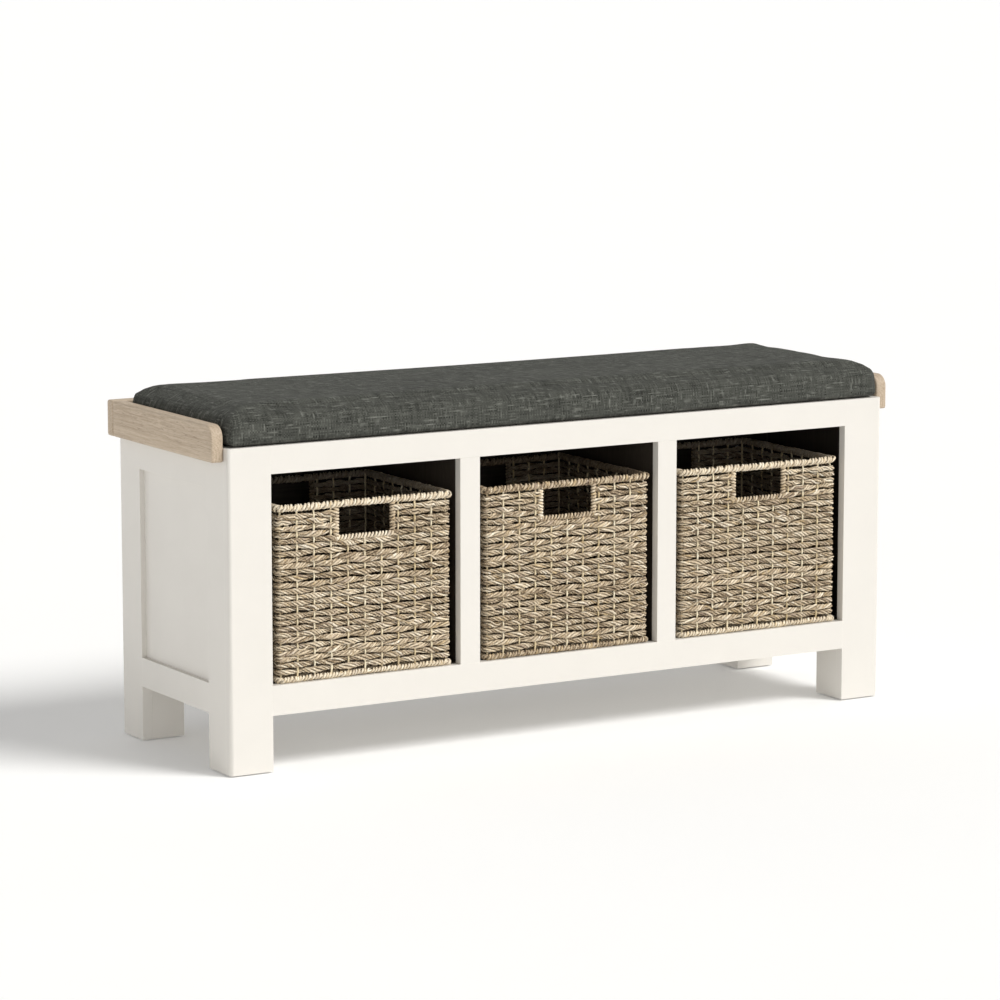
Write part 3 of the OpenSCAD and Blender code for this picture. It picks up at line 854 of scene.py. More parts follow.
@dataclass
class StrandMesh:
    """Collects round strands and joins them into one mesh with marks for their fibres."""

    FIBRE = "fibre"
    TONE = "tone"
    SHADE_MARK = "deep"
    sides: int = 6
    spiral: float = 0.011
    seed: int = 0
    end_width: float = 0.55
    parts: list = field(default_factory=list)

    def __post_init__(self) -> None:
        """Starts the numbers that vary the strands."""
        self.random = np.random.default_rng(self.seed)

    def add(self, path: Array, facing: Array, radius: float | Array, closed: bool = False,
            tone: float | None = None) -> None:
        """Adds one strand.

        Args:
            path: The points along its middle.
            facing: A direction at each point that the section is turned to.
            radius: The strand's radius, or one at each point.
            closed: Whether the strand joins its own start.
            tone: The strand's own tone from 0 to 1, or None for a random one.
        """
        count = len(path)
        ahead = np.roll(path, -1, 0) - np.roll(path, 1, 0)
        if not closed:
            ahead[0], ahead[-1] = path[1] - path[0], path[-1] - path[-2]
        ahead /= np.linalg.norm(ahead, axis=1, keepdims=True)
        first = facing - (facing * ahead).sum(1, keepdims=True) * ahead
        first /= np.linalg.norm(first, axis=1, keepdims=True)
        second = np.cross(ahead, first)
        angles = np.arange(self.sides) * 2 * math.pi / self.sides
        width = np.broadcast_to(np.asarray(radius, float), (count,)).copy()
        if not closed:
            width[[0, -1]] *= self.end_width
        ring = (np.cos(angles)[None, :, None] * first[:, None, :]
                + np.sin(angles)[None, :, None] * second[:, None, :])
        verts = path[:, None, :] + width[:, None, None] * ring
        steps = np.linalg.norm(np.diff(path, axis=0), axis=1)
        along = np.concatenate([[0.0], np.cumsum(steps)])
        turn = angles[None, :] + along[:, None] * 2 * math.pi / self.spiral
        shift = self.random.uniform(0, 40)
        fibre = np.stack([np.broadcast_to(along[:, None] + shift, turn.shape),
                          np.cos(turn), np.sin(turn)], -1)
        own = self.random.uniform(0, 1) if tone is None else tone
        # Painted shade mark: 0 on the side that faces out, 1 on the side that faces the cord's
        # core.
        deep = np.broadcast_to((0.5 - 0.5 * np.cos(angles))[None, :], turn.shape)
        self.parts.append((verts, fibre, own, deep, closed))

    def mesh(self, name: str) -> bpy.types.Mesh:
        """Joins the strands.

        Args:
            name: The mesh's name.

        Returns:
            The mesh, with a fibre vector, a tone and a painted shade mark at each vertex and a UV
            strip for each strand.
        """
        verts, fibres, tones, shade_marks, faces, uvs = [], [], [], [], [], []
        base, rows = 0, len(self.parts)
        sides = self.sides
        for row, (points, fibre, tone, deep, closed) in enumerate(self.parts):
            count = len(points)
            laps = count if closed else count - 1
            i = np.arange(laps)[:, None]
            k = np.arange(sides)[None, :]
            after, beside = (i + 1) % count, (k + 1) % sides
            quads = np.stack([i * sides + k, i * sides + beside, after * sides + beside,
                              after * sides + k], -1).reshape(-1, 4) + base
            u0, u1 = i / laps + 0 * k, (i + 1) / laps + 0 * k
            v0, v1 = (row + k / sides) / rows + 0 * i, (row + (k + 1) / sides) / rows + 0 * i
            uv = np.stack([np.stack([u0, v0], -1), np.stack([u0, v1], -1), np.stack([u1, v1], -1),
                           np.stack([u1, v0], -1)], -2).reshape(-1, 2)
            verts.append(points.reshape(-1, 3))
            fibres.append(fibre.reshape(-1, 3))
            tones.append(np.full(count * sides, tone))
            shade_marks.append(deep.ravel())
            faces.extend(quads.tolist())
            uvs.append(uv)
            if not closed:
                last = base + (count - 1) * sides
                faces.append(list(range(base + sides - 1, base - 1, -1)))
                faces.append(list(range(last, last + sides)))
                strip = [(0.0, (row + 0.5) / rows)] * sides + [(1.0, (row + 0.5) / rows)] * sides
                uvs.append(np.array(strip))
            base += count * sides
        mesh = bpy.data.meshes.new(name)
        mesh.from_pydata(np.concatenate(verts).tolist(), [], faces)
        for key, kind, part, data in ((self.FIBRE, "FLOAT_VECTOR", "vector", fibres),
                                      (self.TONE, "FLOAT", "value", tones),
                                      (self.SHADE_MARK, "FLOAT", "value", shade_marks)):
            mark = mesh.attributes.new(key, kind, "POINT")
            mark.data.foreach_set(part, np.concatenate(data).ravel().astype(np.float32))
        layer = mesh.uv_layers.new(name="OFBake")
        layer.data.foreach_set("uv", np.concatenate(uvs).ravel().astype(np.float32))
        smooth(mesh)
        return mesh


# ---------- carcass ----------


@dataclass
class Carcass:
    """The painted boards, the inside boards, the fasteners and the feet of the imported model."""

    arris: float = 0.55 * MM
    paint_slot: str = "ivory_paint"

    def bays(self) -> tuple[Place, Place]:
        """Gives the box of the bays, out to the middle of the boards round them."""
        side = sum(corner.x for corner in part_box("right_side_panel")) / 2
        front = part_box("front_top_rail")[1].y - 0.3 * MM
        back = sum(corner.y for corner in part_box("back_panel")) / 2
        floor = sum(corner.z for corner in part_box("bottom_shelf")) / 2
        top = sum(corner.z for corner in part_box("seat_deck")) / 2
        return (-side, front, floor), (side, back, top)

    def finish_of(self, node: str, slot: str) -> Finish:
        """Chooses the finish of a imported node.

        Args:
            node: The node's name.
            slot: Its material slot in the record.

        Returns:
            The finish.
        """
        lo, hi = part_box(node)
        size = hi - lo
        grain = Axis(max(range(3), key=lambda i: size[i]))
        thin = Axis(min(range(3), key=lambda i: size[i]))
        if slot == self.paint_slot:
            name = f"ivory_paint_{grain.name.lower()}"
            return SatinPaint(name, slot, grain=grain, inside=self.bays())
        # The inside boards get a dark colour, painted shade for the shade in the bays.
        if slot == "umber_stain":
            return PaintedBayShade("umber_stain", slot, grain=grain)
        if slot == "plywood":
            return Plywood(f"plywood_{thin.name.lower()}", slot, through=thin)
        if slot == "beech":
            return Beech("beech", slot, grain=grain)
        if slot == "limed_oak":
            return LimedWood(node, slot, grain=grain, centre=tuple((lo + hi) / 2))
        return {
            "zinc_steel": Metal("zinc_steel", slot),
            "glide_plastic": MouldedPlastic("glide_plastic", slot),
            "charcoal_linen": Cushion().linen,
            "foam": OpenFoam("foam", slot),
            "seagrass": DriedGrass("seagrass", slot),
        }[slot]

    def soften(self, node: bpy.types.Object) -> None:
        """Eases the sharp edges of a board, as sandpaper does."""
        weld = node.modifiers.new("weld", "WELD")
        weld.merge_threshold = 0.01 * MM
        flat = node.modifiers.new("merge flat faces", "DECIMATE")
        flat.decimate_type = "DISSOLVE"
        flat.angle_limit = math.radians(1.0)
        round_edges(node, self.arris, 2).harden_normals = True

    def build(self) -> None:
        """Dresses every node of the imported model."""
        slots = {s["node"]: s["material_slot"] for s in frame["record"]["subparts"]}
        for name, node in frame["nodes"].items():
            finish = self.finish_of(name, slots[name])
            node.data.materials.clear()
            node.data.materials.append(finish.material())
            if slots[name] in (self.paint_slot, "umber_stain", "plywood"):
                self.soften(node)
        LOG.info("carcass: %d packed nodes dressed", len(frame["nodes"]))


# ---------- oak gallery ----------


@dataclass
class OakGallery:
    """The three oak rails round the seat, with rounded edges and big front corners."""

    front_radius: float = 18 * MM
    edge_radius: float = 3.2 * MM
    edge_steps: int = 4

    def rail(self, name: str, mesh: bpy.types.Mesh, grain: Axis) -> None:
        """Rounds a rail's edges, dresses it and puts it in its node's place."""
        lo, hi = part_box(name)
        finish = LimedWood(name, "limed_oak", grain=grain, centre=tuple((lo + hi) / 2))
        piece = new_object(name + "_wood", mesh, finish, "frame")
        round_edges(piece, self.edge_radius, self.edge_steps)
        apply_modifiers(piece)
        smooth(piece.data)
        sharp = piece.modifiers.new("flat faces", "WEIGHTED_NORMAL")
        sharp.keep_sharp = True
        apply_modifiers(piece)
        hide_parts(name)
        LOG.info("oak gallery: %s", piece.name)

    def build(self) -> None:
        """Builds the two side rails and the notched back rail."""
        for name in ("left_oak_rail", "right_oak_rail"):
            lo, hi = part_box(name)
            outline = rounded_outline(hi.y - lo.y, hi.z - lo.z, (0, 0, 0, self.front_radius))
            mesh = prism(name, outline + (lo.y, lo.z), Axis.X, lo.x, hi.x)
            self.rail(name, mesh, Axis.Y)
        lo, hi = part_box("back_oak_rail")
        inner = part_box("right_oak_rail")[0].x
        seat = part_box("back_right_stile")[1].z
        notch = [(-inner, lo.z), (-inner, seat), (inner, seat), (inner, lo.z)]
        outline = np.array([(lo.x, lo.z), *notch, (hi.x, lo.z), (hi.x, hi.z), (lo.x, hi.z)])
        mesh = prism("back_oak_rail", outline, Axis.Y, lo.y, hi.y)
        self.rail("back_oak_rail", mesh, Axis.X)


# ---------- cushion ----------


@dataclass
class Cushion:
    """The foam seat cushion, pulled over its board and closed below with dust cloth."""

    radius: float = 21 * MM
    corner: float = 6 * MM
    foot: float = 1.5 * MM
    fold: float = 4 * MM
    lift: float = 0.9 * MM
    shrink: float = 1.2 * MM
    voxel: float = 6 * MM
    pressure: float = 4.0
    frames: int = 20
    swell: float = 4.5 * MM
    side_swell: float = 1.4 * MM
    quick_swell: float = 2.5 * MM
    pinned_height: float = 8 * MM
    sheet_inset: float = 16 * MM
    sheet: float = 0.35 * MM
    staple_crown: float = 5 * MM
    staple_pitch: float = 45 * MM
    staple_inward: float = 6 * MM
    staple_wire: float = 0.28 * MM

    @property
    def linen(self) -> SlubLinen:
        """The cushion's cloth, with its weave folded down at the cushion's top edges."""
        lo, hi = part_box("cushion_cover")
        middle = (lo + hi) / 2
        centre = (middle.x, middle.y, hi.z - self.fold)
        return SlubLinen("charcoal_linen", "charcoal_linen", centre=centre)

    def block(self) -> bpy.types.Object:
        """Makes the rounded block that the cushion swells from.

        Returns:
            The object, remeshed into even faces.
        """
        lo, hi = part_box("cushion_cover")
        inset = Vector((self.shrink, self.shrink, 0))
        low = lo + inset + Vector((0, 0, self.lift))
        high = hi - inset - Vector((0, 0, self.shrink))
        size = high - low
        radii = (self.foot, self.foot, self.radius, self.radius)
        plan = rounded_outline(size.x, size.y, (self.corner,) * 4, 4) + (low.x, low.y)
        length = rounded_outline(size.x, size.z, radii) + (low.x, low.z)
        depth = rounded_outline(size.y, size.z, radii) + (low.y, low.z)
        mesh = prism("cushion_linen", plan, Axis.Z, low.z, high.z)
        piece = new_object("cushion_linen", mesh, self.linen, "seat")
        for name, outline, axis, start, end in (
            ("length", length, Axis.Y, low.y - MM, high.y + MM),
            ("depth", depth, Axis.X, low.x - MM, high.x + MM),
        ):
            cutter = bpy.data.objects.new(name, prism(name, outline, axis, start, end))
            bpy.context.scene.collection.objects.link(cutter)
            cut = piece.modifiers.new(name, "BOOLEAN")
            cut.operation, cut.solver, cut.object = "INTERSECT", "EXACT", cutter
            apply_modifiers(piece)
            bpy.data.objects.remove(cutter)
        remesh = piece.modifiers.new("even faces", "REMESH")
        remesh.mode = "VOXEL"
        remesh.voxel_size = self.voxel
        remesh.use_smooth_shade = True
        apply_modifiers(piece)
        return piece

    def inflate(self, piece: bpy.types.Object) -> None:
        """Swells the cushion with Blender's cloth and keeps it in its space.

        Args:
            piece: The cushion.
        """
        mesh = piece.data
        count = len(mesh.vertices)
        rest = np.zeros(count * 3, np.float32)
        mesh.vertices.foreach_get("co", rest)
        rest = rest.reshape(-1, 3)
        low = rest[:, 2].min()
        pinned = np.nonzero(rest[:, 2] < low + self.pinned_height)[0]
        group = piece.vertex_groups.new(name="stapled")
        group.add(pinned.tolist(), 1.0, "REPLACE")
        cloth = piece.modifiers.new("cloth", "CLOTH")
        settings = cloth.settings
        settings.quality = 5
        settings.mass = 0.3
        settings.tension_stiffness = settings.compression_stiffness = 25
        settings.shear_stiffness = 12
        settings.bending_stiffness = 0.8
        settings.use_pressure = True
        settings.uniform_pressure_force = self.pressure
        settings.vertex_group_mass = group.name
        settings.effector_weights.gravity = 0.0
        scene = bpy.context.scene
        for step in range(1, self.frames + 1):
            scene.frame_set(step)
        made = piece.evaluated_get(bpy.context.evaluated_depsgraph_get()).to_mesh()
        moved = np.zeros(count * 3, np.float32)
        made.vertices.foreach_get("co", moved)
        moved = moved.reshape(-1, 3) - rest
        piece.modifiers.clear()
        piece.vertex_groups.clear()
        scene.frame_set(1)
        caps = np.array([self.side_swell, self.side_swell, self.swell])
        moved = caps * np.tanh(moved / caps)
        mesh.vertices.foreach_set("co", (rest + moved).ravel())
        mesh.update()

    def dust_cloth(self) -> None:
        """Closes the bottom with black dust cloth."""
        lo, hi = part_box("cushion_cover")
        inset = self.sheet_inset
        width, depth = hi.x - lo.x - 2 * inset, hi.y - lo.y - 2 * inset
        outline = rounded_outline(width, depth, (3 * MM,) * 4, 3) + (lo.x + inset, lo.y + inset)
        bottom = lo.z + 0.5 * MM
        mesh = prism("dust_cloth", outline, Axis.Z, bottom, bottom + self.sheet)
        new_object("dust_cloth", mesh, DustCloth("black_dust_cloth", "charcoal_linen"), "seat")
        LOG.info("cushion: dust cloth")

    def staples(self) -> None:
        """Fixes the dust cloth with a row of staples near each of its edges."""
        lo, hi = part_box("cushion_cover")
        inset = self.sheet_inset
        middle = Vector(((lo.x + hi.x) / 2, (lo.y + hi.y) / 2))
        half = Vector(((hi.x - lo.x - 2 * inset) / 2, (hi.y - lo.y - 2 * inset) / 2))
        z = lo.z + 0.45 * MM
        leg = z + 0.3 * MM
        strands = StrandMesh(sides=6, seed=3)
        corners = [Vector((middle.x + x * half.x, middle.y + y * half.y))
                   for x, y in ((-1, -1), (1, -1), (1, 1), (-1, 1))]
        for k, facing in enumerate(((0, 1), (-1, 0), (0, -1), (1, 0))):
            a, b = corners[k], corners[(k + 1) % 4]
            run, inward = (b - a).normalized(), Vector(facing)
            count = int((b - a).length / self.staple_pitch)
            for i in range(count):
                at = a + run * (b - a).length * (i + 0.5) / count + inward * self.staple_inward
                tilt = run * self.staple_crown + inward * self.staple_crown * 0.3 * (-1) ** i
                path = np.array([(*(at - tilt), leg), (*(at - tilt * 0.92), z), (*at, z),
                                 (*(at + tilt * 0.92), z), (*(at + tilt), leg)])
                strands.add(path, np.tile(UP, (len(path), 1)), self.staple_wire)
        new_object("staples", strands.mesh("staples"), Metal("zinc_steel", "zinc_steel"), "seat")
        LOG.info("cushion: %d staples", len(strands.parts))

    def build(self) -> None:
        """Builds the cushion and its underside."""
        piece = self.block()
        self.inflate(piece)
        finer = piece.modifiers.new("finer", "SUBSURF")
        finer.levels = finer.render_levels = 1
        apply_modifiers(piece)
        smooth(piece.data)
        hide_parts("cushion_cover", "cushion_foam", "cushion_board")
        LOG.info("cushion: %s, %d faces", piece.name, len(piece.data.polygons))
        self.dust_cloth()
        self.staples()


# ---------- baskets ----------


class Waves(Enum):
    """How often the parts of an uneven change go up and down along a cord."""

    SLOW = (3, 7, 13, 23)
    LEVEL = (5, 11, 17, 29)
    WIDTH = (5, 11, 19, 37)
    LEAD = (11, 23, 41, 67)


class Seed(Enum):
    """What each part of a basket adds to the basket's own seed."""

    STAKES = 31
    HAND_HOLES = 51
    EDGES = 71
    BASE = 91
    LOOSE_ENDS = 111


@dataclass(frozen=True)
class Ring:
    """A level ring about a basket's middle, a rectangle with round corners.

    Distances along it start in the middle of the front left corner and run to the right.
    """

    half_width: float
    half_depth: float
    corner: float

    @property
    def sides(self) -> tuple[float, float]:
        """The lengths of a long and a short side, with half a corner at each end."""
        quarter = math.pi * self.corner / 2
        return (2 * (self.half_width - self.corner) + quarter,
                2 * (self.half_depth - self.corner) + quarter)

    @property
    def total(self) -> float:
        """The length of the whole ring."""
        return 2 * sum(self.sides)

    @property
    def marks(self) -> Array:
        """The distances to the middles of the corners, and to the ring's end."""
        return np.cumsum([0, *self.sides, *self.sides])

    @property
    def half_arc(self) -> float:
        """The length of half a corner."""
        return math.pi * self.corner / 4

    def follow(self, u: Array) -> tuple[Array, Array]:
        """Walks along the ring.

        Args:
            u: Distances along the ring.

        Returns:
            The points about the basket's middle and the outward directions, both level.
        """
        r, half_arc = self.corner, self.half_arc
        halves = (self.half_width, self.half_depth)
        u = np.mod(u, self.total)
        points, outward = np.zeros((len(u), 2)), np.zeros((len(u), 2))
        start = 0.0
        for k in range(4):
            length, half, other = self.sides[k % 2], halves[k % 2], halves[1 - k % 2]
            here = (u >= start) & (u < start + length)
            t = u[here] - start
            x = np.clip(t - half_arc, 0, 2 * (half - r)) - (half - r)
            leaving = np.where(t > length - half_arc, (t - length + half_arc) / r, 0.0)
            angle = np.where(t < half_arc, (t - half_arc) / r, leaving)
            nx, ny = np.sin(angle), -np.cos(angle)
            px, py = x + r * nx, -(other - r) + r * ny
            c, s = math.cos(k * math.pi / 2), math.sin(k * math.pi / 2)
            points[here] = np.stack([c * px - s * py, s * px + c * py], -1)
            outward[here] = np.stack([c * nx - s * ny, s * nx + c * ny], -1)
            start += length
        return points, outward


@dataclass(frozen=True)
class Cord:
    """Strands twisted into a cord.

    Its radius goes from its own middle to a strand's middle. The flatness is its thickness through
    the wall as a share of its height.
    """

    count: int
    radius: float | Array
    strand: float | Array
    unevenness: float = 0.1
    flatness: float = 1.0


@dataclass(frozen=True)
class Wrapping:
    """Two strands wrapped round a straight core, all round the basket."""

    part: str
    inset: float
    radius: float
    strand: float
    lead: float
    core: float = 0.8
    unevenness: float = 0.3
    lead_drift: float = 0.3
    samples_per_lead: int = 10
    core_samples: int = 160


@dataclass(frozen=True)
class HandHole:
    """The sizes of a hand hole, of the bindings at its sides and of the rope on its sill."""

    width: float = 78 * MM
    depth: float = 38 * MM
    post_radius: float = 2.6 * MM
    post_room: float = 1.8 * MM
    post_strand: float = 1.85 * MM
    post_pitch: float = 4.3 * MM
    post_start: float = 4 * MM
    post_spare: float = 6 * MM
    post_drift: float = 0.25
    sill_drop: float = 3.4 * MM
    sill_radius: float = 2.5 * MM
    sill_strand: float = 1.75 * MM
    sill_lead: float = 10.4 * MM
    sill_reach: float = 4 * MM
    sill_out: float = 0.6 * MM
    sill_twist_drift: float = 0.4
    sill_drift: float = 0.2
    sill_samples: int = 110


@dataclass(frozen=True)
class BaseMat:
    """The sizes of the woven base."""

    pitch: float = 7.6 * MM
    sway: float = 1.15 * MM
    strand: float = 1.75 * MM
    tuck: float = 2 * MM
    side_drift: float = 0.5 * MM
    width_drift: float = 0.12


@dataclass(frozen=True)
class LooseEnds:
    """The loose strands over the outside of the wall.

    Each pair is a range to draw from. The sizes among them are in millimetres.
    """

    count: int = 70
    samples: int = 14
    length: tuple[float, float] = (20, 38)
    slope: tuple[float, float] = (-9, 9)
    wave: tuple[float, float] = (0.8, 2.2)
    radius: tuple[float, float] = (0.8, 1.2)
    tone: tuple[float, float] = (0.1, 0.9)
    wave_turns: float = 1.3
    above_border: float = 12 * MM
    below_sill: float = 14 * MM
    bulge: float = 3.4 * MM
    tuck: float = 1.2 * MM


@dataclass
class Basket:
    """One rectangular basket: cane stakes, woven twisted cord, wrapped edges and hand holes."""

    name: str
    seed: int
    front_spaces: int = 10
    side_spaces: int = 9
    row_pitch: float = 8.45 * MM
    plies: int = 4
    cord_radius: float = 2.3 * MM
    strand_radius: float = 1.55 * MM
    flatness: float = 0.8
    turns_per_space: float = 0.85
    twist_drift: float = 0.3
    reversed_share: float = 0.3
    front_swell: float = 0.26
    back_swell: float = 0.16
    row_jitter: float = 0.6
    strand_unevenness: float = 0.24
    sway: float = 2.4 * MM
    corner_sway: float = 0.35
    corner_reach: float = 0.42
    waver: float = 0.7 * MM
    wall_inset: float = 6.4 * MM
    corner: float = 3 * MM
    stake_radius: float = 1.35 * MM
    stake_sway: float = 0.6 * MM
    stake_out: float = 0.2 * MM
    stake_drift: float = 0.2
    corner_stake_in: float = 3 * MM
    stake_samples: int = 100
    samples: int = 280
    rim_drop: float = 5 * MM
    border_rise: float = 4.2 * MM
    rim: Wrapping = Wrapping("rim", 5.3 * MM, 3.4 * MM, 1.95 * MM, 10.8 * MM)
    border: Wrapping = Wrapping("border", 4.9 * MM, 2.5 * MM, 1.65 * MM, 10 * MM)
    hole: HandHole = HandHole()
    mat: BaseMat = BaseMat()
    loose: LooseEnds = LooseEnds()
    grass: DriedGrass = DriedGrass("seagrass", "seagrass")
    cane: DriedGrass = PeeledCane("cane_stakes", "seagrass")

    def __post_init__(self) -> None:
        """Reads the basket's place and starts its own random numbers."""
        self.random = np.random.default_rng(self.seed)
        self.outer_lo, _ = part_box(f"{self.name}_border")
        _, self.outer_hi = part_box(f"{self.name}_rim")
        self.weave_lo, self.weave_hi = (b.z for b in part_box(f"{self.name}_weave"))
        middle = (self.outer_lo + self.outer_hi) / 2
        self.middle = np.array([middle.x, middle.y])
        height = self.weave_hi - self.weave_lo
        self.rows = int(height / self.row_pitch)
        self.first_row = self.weave_lo + (height - (self.rows - 1) * self.row_pitch) / 2
        self.sill = self.weave_hi - self.hole.depth
        self.spaces = np.cumsum([0, *(self.front_spaces, self.side_spaces) * 2])
        self.wall = self.ring(self.wall_inset)

    def ring(self, inset: float) -> Ring:
        """Gives the level ring at a distance inside the basket's outside."""
        return Ring((self.outer_hi.x - self.outer_lo.x) / 2 - inset,
                    (self.outer_hi.y - self.outer_lo.y) / 2 - inset, self.corner)

    def piece(self, part: str, mesh: StrandMesh,
              finish: DriedGrass | None = None) -> bpy.types.Object:
        """Makes a piece of the basket of its strands.

        Args:
            part: What the piece is, for its name.
            mesh: Its strands.
            finish: Its finish, or None for the grass.

        Returns:
            The new object.
        """
        name = f"{self.name}_{part}"
        return new_object(name, mesh.mesh(name), finish or self.grass, self.name)

    def strands(self, sides: int, seed: Seed) -> StrandMesh:
        """Starts a mesh of strands for a part of the basket."""
        return StrandMesh(sides=sides, seed=self.seed + seed.value)

    def stake_count(self, u: Array) -> Array:
        """Counts the stakes passed at distances round the wall."""
        marks = self.wall.marks
        return np.interp(np.mod(u, marks[-1] + TINY), marks, self.spaces)

    def drift(self, turn: Array, size: float, waves: Waves = Waves.SLOW) -> Array:
        """Gives a slow uneven change round a ring that closes on itself.

        Args:
            turn: The place round the ring, from 0 to 1.
            size: About how large the change gets.
            waves: How often its parts go up and down.

        Returns:
            The change at each place.
        """
        count = len(waves.value)
        phases = self.random.uniform(0, 2 * math.pi, count)
        sizes = self.random.uniform(0.4, 1.0, count)
        sizes *= size / sizes.sum()
        return sum(s * np.sin(2 * math.pi * n * turn + p)
                   for s, n, p in zip(sizes, waves.value, phases))

    def lay(self, mesh: StrandMesh, ring: Ring, u: Array, height: float, cord: Cord, turns: Array,
            offset: Array, closed: bool) -> None:
        """Lays a twisted cord round part or all of a ring.

        Args:
            mesh: The strands' mesh.
            ring: The ring that the cord follows.
            u: Distances along the ring.
            height: The cord's height.
            cord: The cord, whose radius and strand may be one at each point.
            turns: The twist at each point, in turns.
            offset: The cord's distance outside the ring at each point.
            closed: Whether the cord joins its own start.
        """
        flat, outward = ring.follow(u)
        normal = level(outward)
        middle = np.column_stack([flat + self.middle, np.full(len(u), height)])
        middle += normal * offset[:, None]
        place = (u - u[0]) / (u[-1] - u[0])
        middle[:, 2] += self.drift(place, self.waver, Waves.LEVEL)
        for k in range(cord.count):
            angle = 2 * math.pi * (turns + k / cord.count)
            away = cord.flatness * np.cos(angle)[:, None] * normal + np.sin(angle)[:, None] * UP
            width = cord.strand * (1 + self.drift(place, cord.unevenness, Waves.WIDTH))
            reach = np.broadcast_to(np.asarray(cord.radius, float), (len(u),))[:, None]
            mesh.add(middle + reach * away, away, width, closed)

    def near_corner(self, passed: Array) -> Array:
        """Tells how near the corner stakes a place is, from 0 to 1."""
        away = np.abs(passed[:, None] - self.spaces[None, :]).min(1)
        return np.exp(-(away / self.corner_reach) ** 2)

    def row(self, mesh: StrandMesh, row: int, start: float, end: float, cut: bool) -> None:
        """Weaves one row of twisted cord in front of and behind the stakes.

        Args:
            mesh: The strands' mesh.
            row: The row's number, from the bottom.
            start: Where it starts along the wall.
            end: Where it ends.
            cut: Whether it runs from one hand hole to the other.
        """
        height = self.first_row + row * self.row_pitch
        points = max(8, int(self.samples * (end - start) / self.wall.total))
        u = np.linspace(start, end, points, endpoint=cut)
        passed = self.stake_count(u)
        cross = np.cos(math.pi * (passed + row))
        near = self.near_corner(passed)
        offset = self.sway * (cross * (1 - near) + self.corner_sway * near)
        turns = passed * self.turns_per_space
        if not cut:
            turns = passed / passed.max() * round(passed.max() * self.turns_per_space)
        twist = turns + self.random.random()
        twist += self.drift((u - start) / (end - start), self.twist_drift)
        way = 1 if self.random.random() < self.reversed_share else -1
        swell = np.where(cross > 0, self.front_swell, self.back_swell)
        swell = 1 + swell * cross * (1 - near)
        height += self.random.uniform(-self.row_jitter, self.row_jitter) * MM
        cord = Cord(self.plies, self.cord_radius * swell, self.strand_radius * (0.4 + 0.6 * swell),
                    self.strand_unevenness, self.flatness)
        self.lay(mesh, self.wall, u, height, cord, way * twist, offset, not cut)

    def weft(self) -> list[bpy.types.Object]:
        """Weaves the rows, with a gap at each hand hole.

        Returns:
            The odd rows and the even rows.
        """
        wall, total = self.wall, self.wall.total
        edge = self.hole.width / 2 + self.hole.post_radius
        front = wall.half_arc + wall.half_width - wall.corner
        back = sum(wall.sides) + wall.half_arc + wall.half_width - wall.corner
        gaps = ((front + edge, back - edge), (back + edge, total + front - edge))
        pieces = []
        for half in range(2):
            mesh = StrandMesh(sides=6, seed=self.seed * 10 + half)
            for row in range(half, self.rows, 2):
                cut = self.first_row + row * self.row_pitch > self.sill - self.row_pitch / 2
                for start, end in gaps if cut else ((0.0, total),):
                    self.row(mesh, row, start, end, cut)
            pieces.append(self.piece(f"weft_{half + 1}", mesh))
        return pieces

    def wrapped(self, edge: Wrapping, height: float) -> bpy.types.Object:
        """Wraps an edge of the basket.

        Args:
            edge: The wrapping.
            height: The height of its middle.

        Returns:
            The wrapped edge.
        """
        ring = self.ring(edge.inset)
        total, lead = ring.total, edge.lead
        mesh = self.strands(7, Seed.EDGES)
        u = np.linspace(0, total, int(total / (lead / edge.samples_per_lead)), endpoint=False)
        turns = round(total / lead) * u / total + self.drift(u / total, edge.lead_drift, Waves.LEAD)
        strands = Cord(2, edge.radius, edge.strand, edge.unevenness)
        self.lay(mesh, ring, u, height, strands, turns, np.zeros(len(u)), True)
        u = np.linspace(0, total, edge.core_samples, endpoint=False)
        core = Cord(1, 0.0, edge.radius * edge.core)
        self.lay(mesh, ring, u, height, core, u * 0, np.zeros(len(u)), True)
        return self.piece(f"{edge.part}_wrap", mesh)

    def stakes(self) -> bpy.types.Object:
        """Stands the cane stakes in the wall and cuts them short at the hand holes.

        Returns:
            The stakes.
        """
        total = int(self.spaces[-1])
        flat, outward = self.wall.follow(np.interp(np.arange(total), self.spaces, self.wall.marks))
        mesh = self.strands(7, Seed.STAKES)
        mesh.spiral = 10.0
        bottom, top = self.outer_lo.z + 3 * MM, self.outer_hi.z - self.rim_drop
        for k in range(total):
            in_hole = abs(flat[k][0]) < self.hole.width / 2 and abs(outward[k][1]) > 0.9
            z = np.linspace(bottom, self.sill - 3 * MM if in_hole else top, self.stake_samples)
            row = (z - self.first_row) / self.row_pitch
            sway = -self.stake_sway * np.cos(math.pi * (k + row)) + self.stake_out
            if k in self.spaces:
                sway -= self.corner_stake_in
            xy = flat[k] + self.middle + sway[:, None] * outward[k]
            facing = np.tile((*outward[k], 0.0), (len(z), 1))
            width = self.stake_radius * (1 + self.drift(z / 0.3, self.stake_drift))
            mesh.add(np.column_stack([xy, z]), facing, width)
        return self.piece("stakes", mesh, self.cane)

    def bind_post(self, mesh: StrandMesh, x: float, wall: float, hand: int) -> None:
        """Binds one side of a hand hole.

        Args:
            mesh: The strands' mesh.
            x: The place of the post across the front.
            wall: The place of the wall.
            hand: 1 or -1, the way that the binding turns.
        """
        hole = self.hole
        laps = (self.weave_hi - self.sill + hole.post_spare) / hole.post_pitch
        t = np.linspace(0, laps, int(laps * 10))
        angle = 2 * math.pi * t * hand
        away = level(np.column_stack([np.cos(angle), np.sin(angle)]))
        line = np.column_stack([np.full(len(t), x), np.full(len(t), wall),
                                self.sill - hole.post_start + t * hole.post_pitch])
        width = hole.post_strand * (1 + self.drift(t / laps, hole.post_drift))
        mesh.add(line + hole.post_radius * away, away, width)

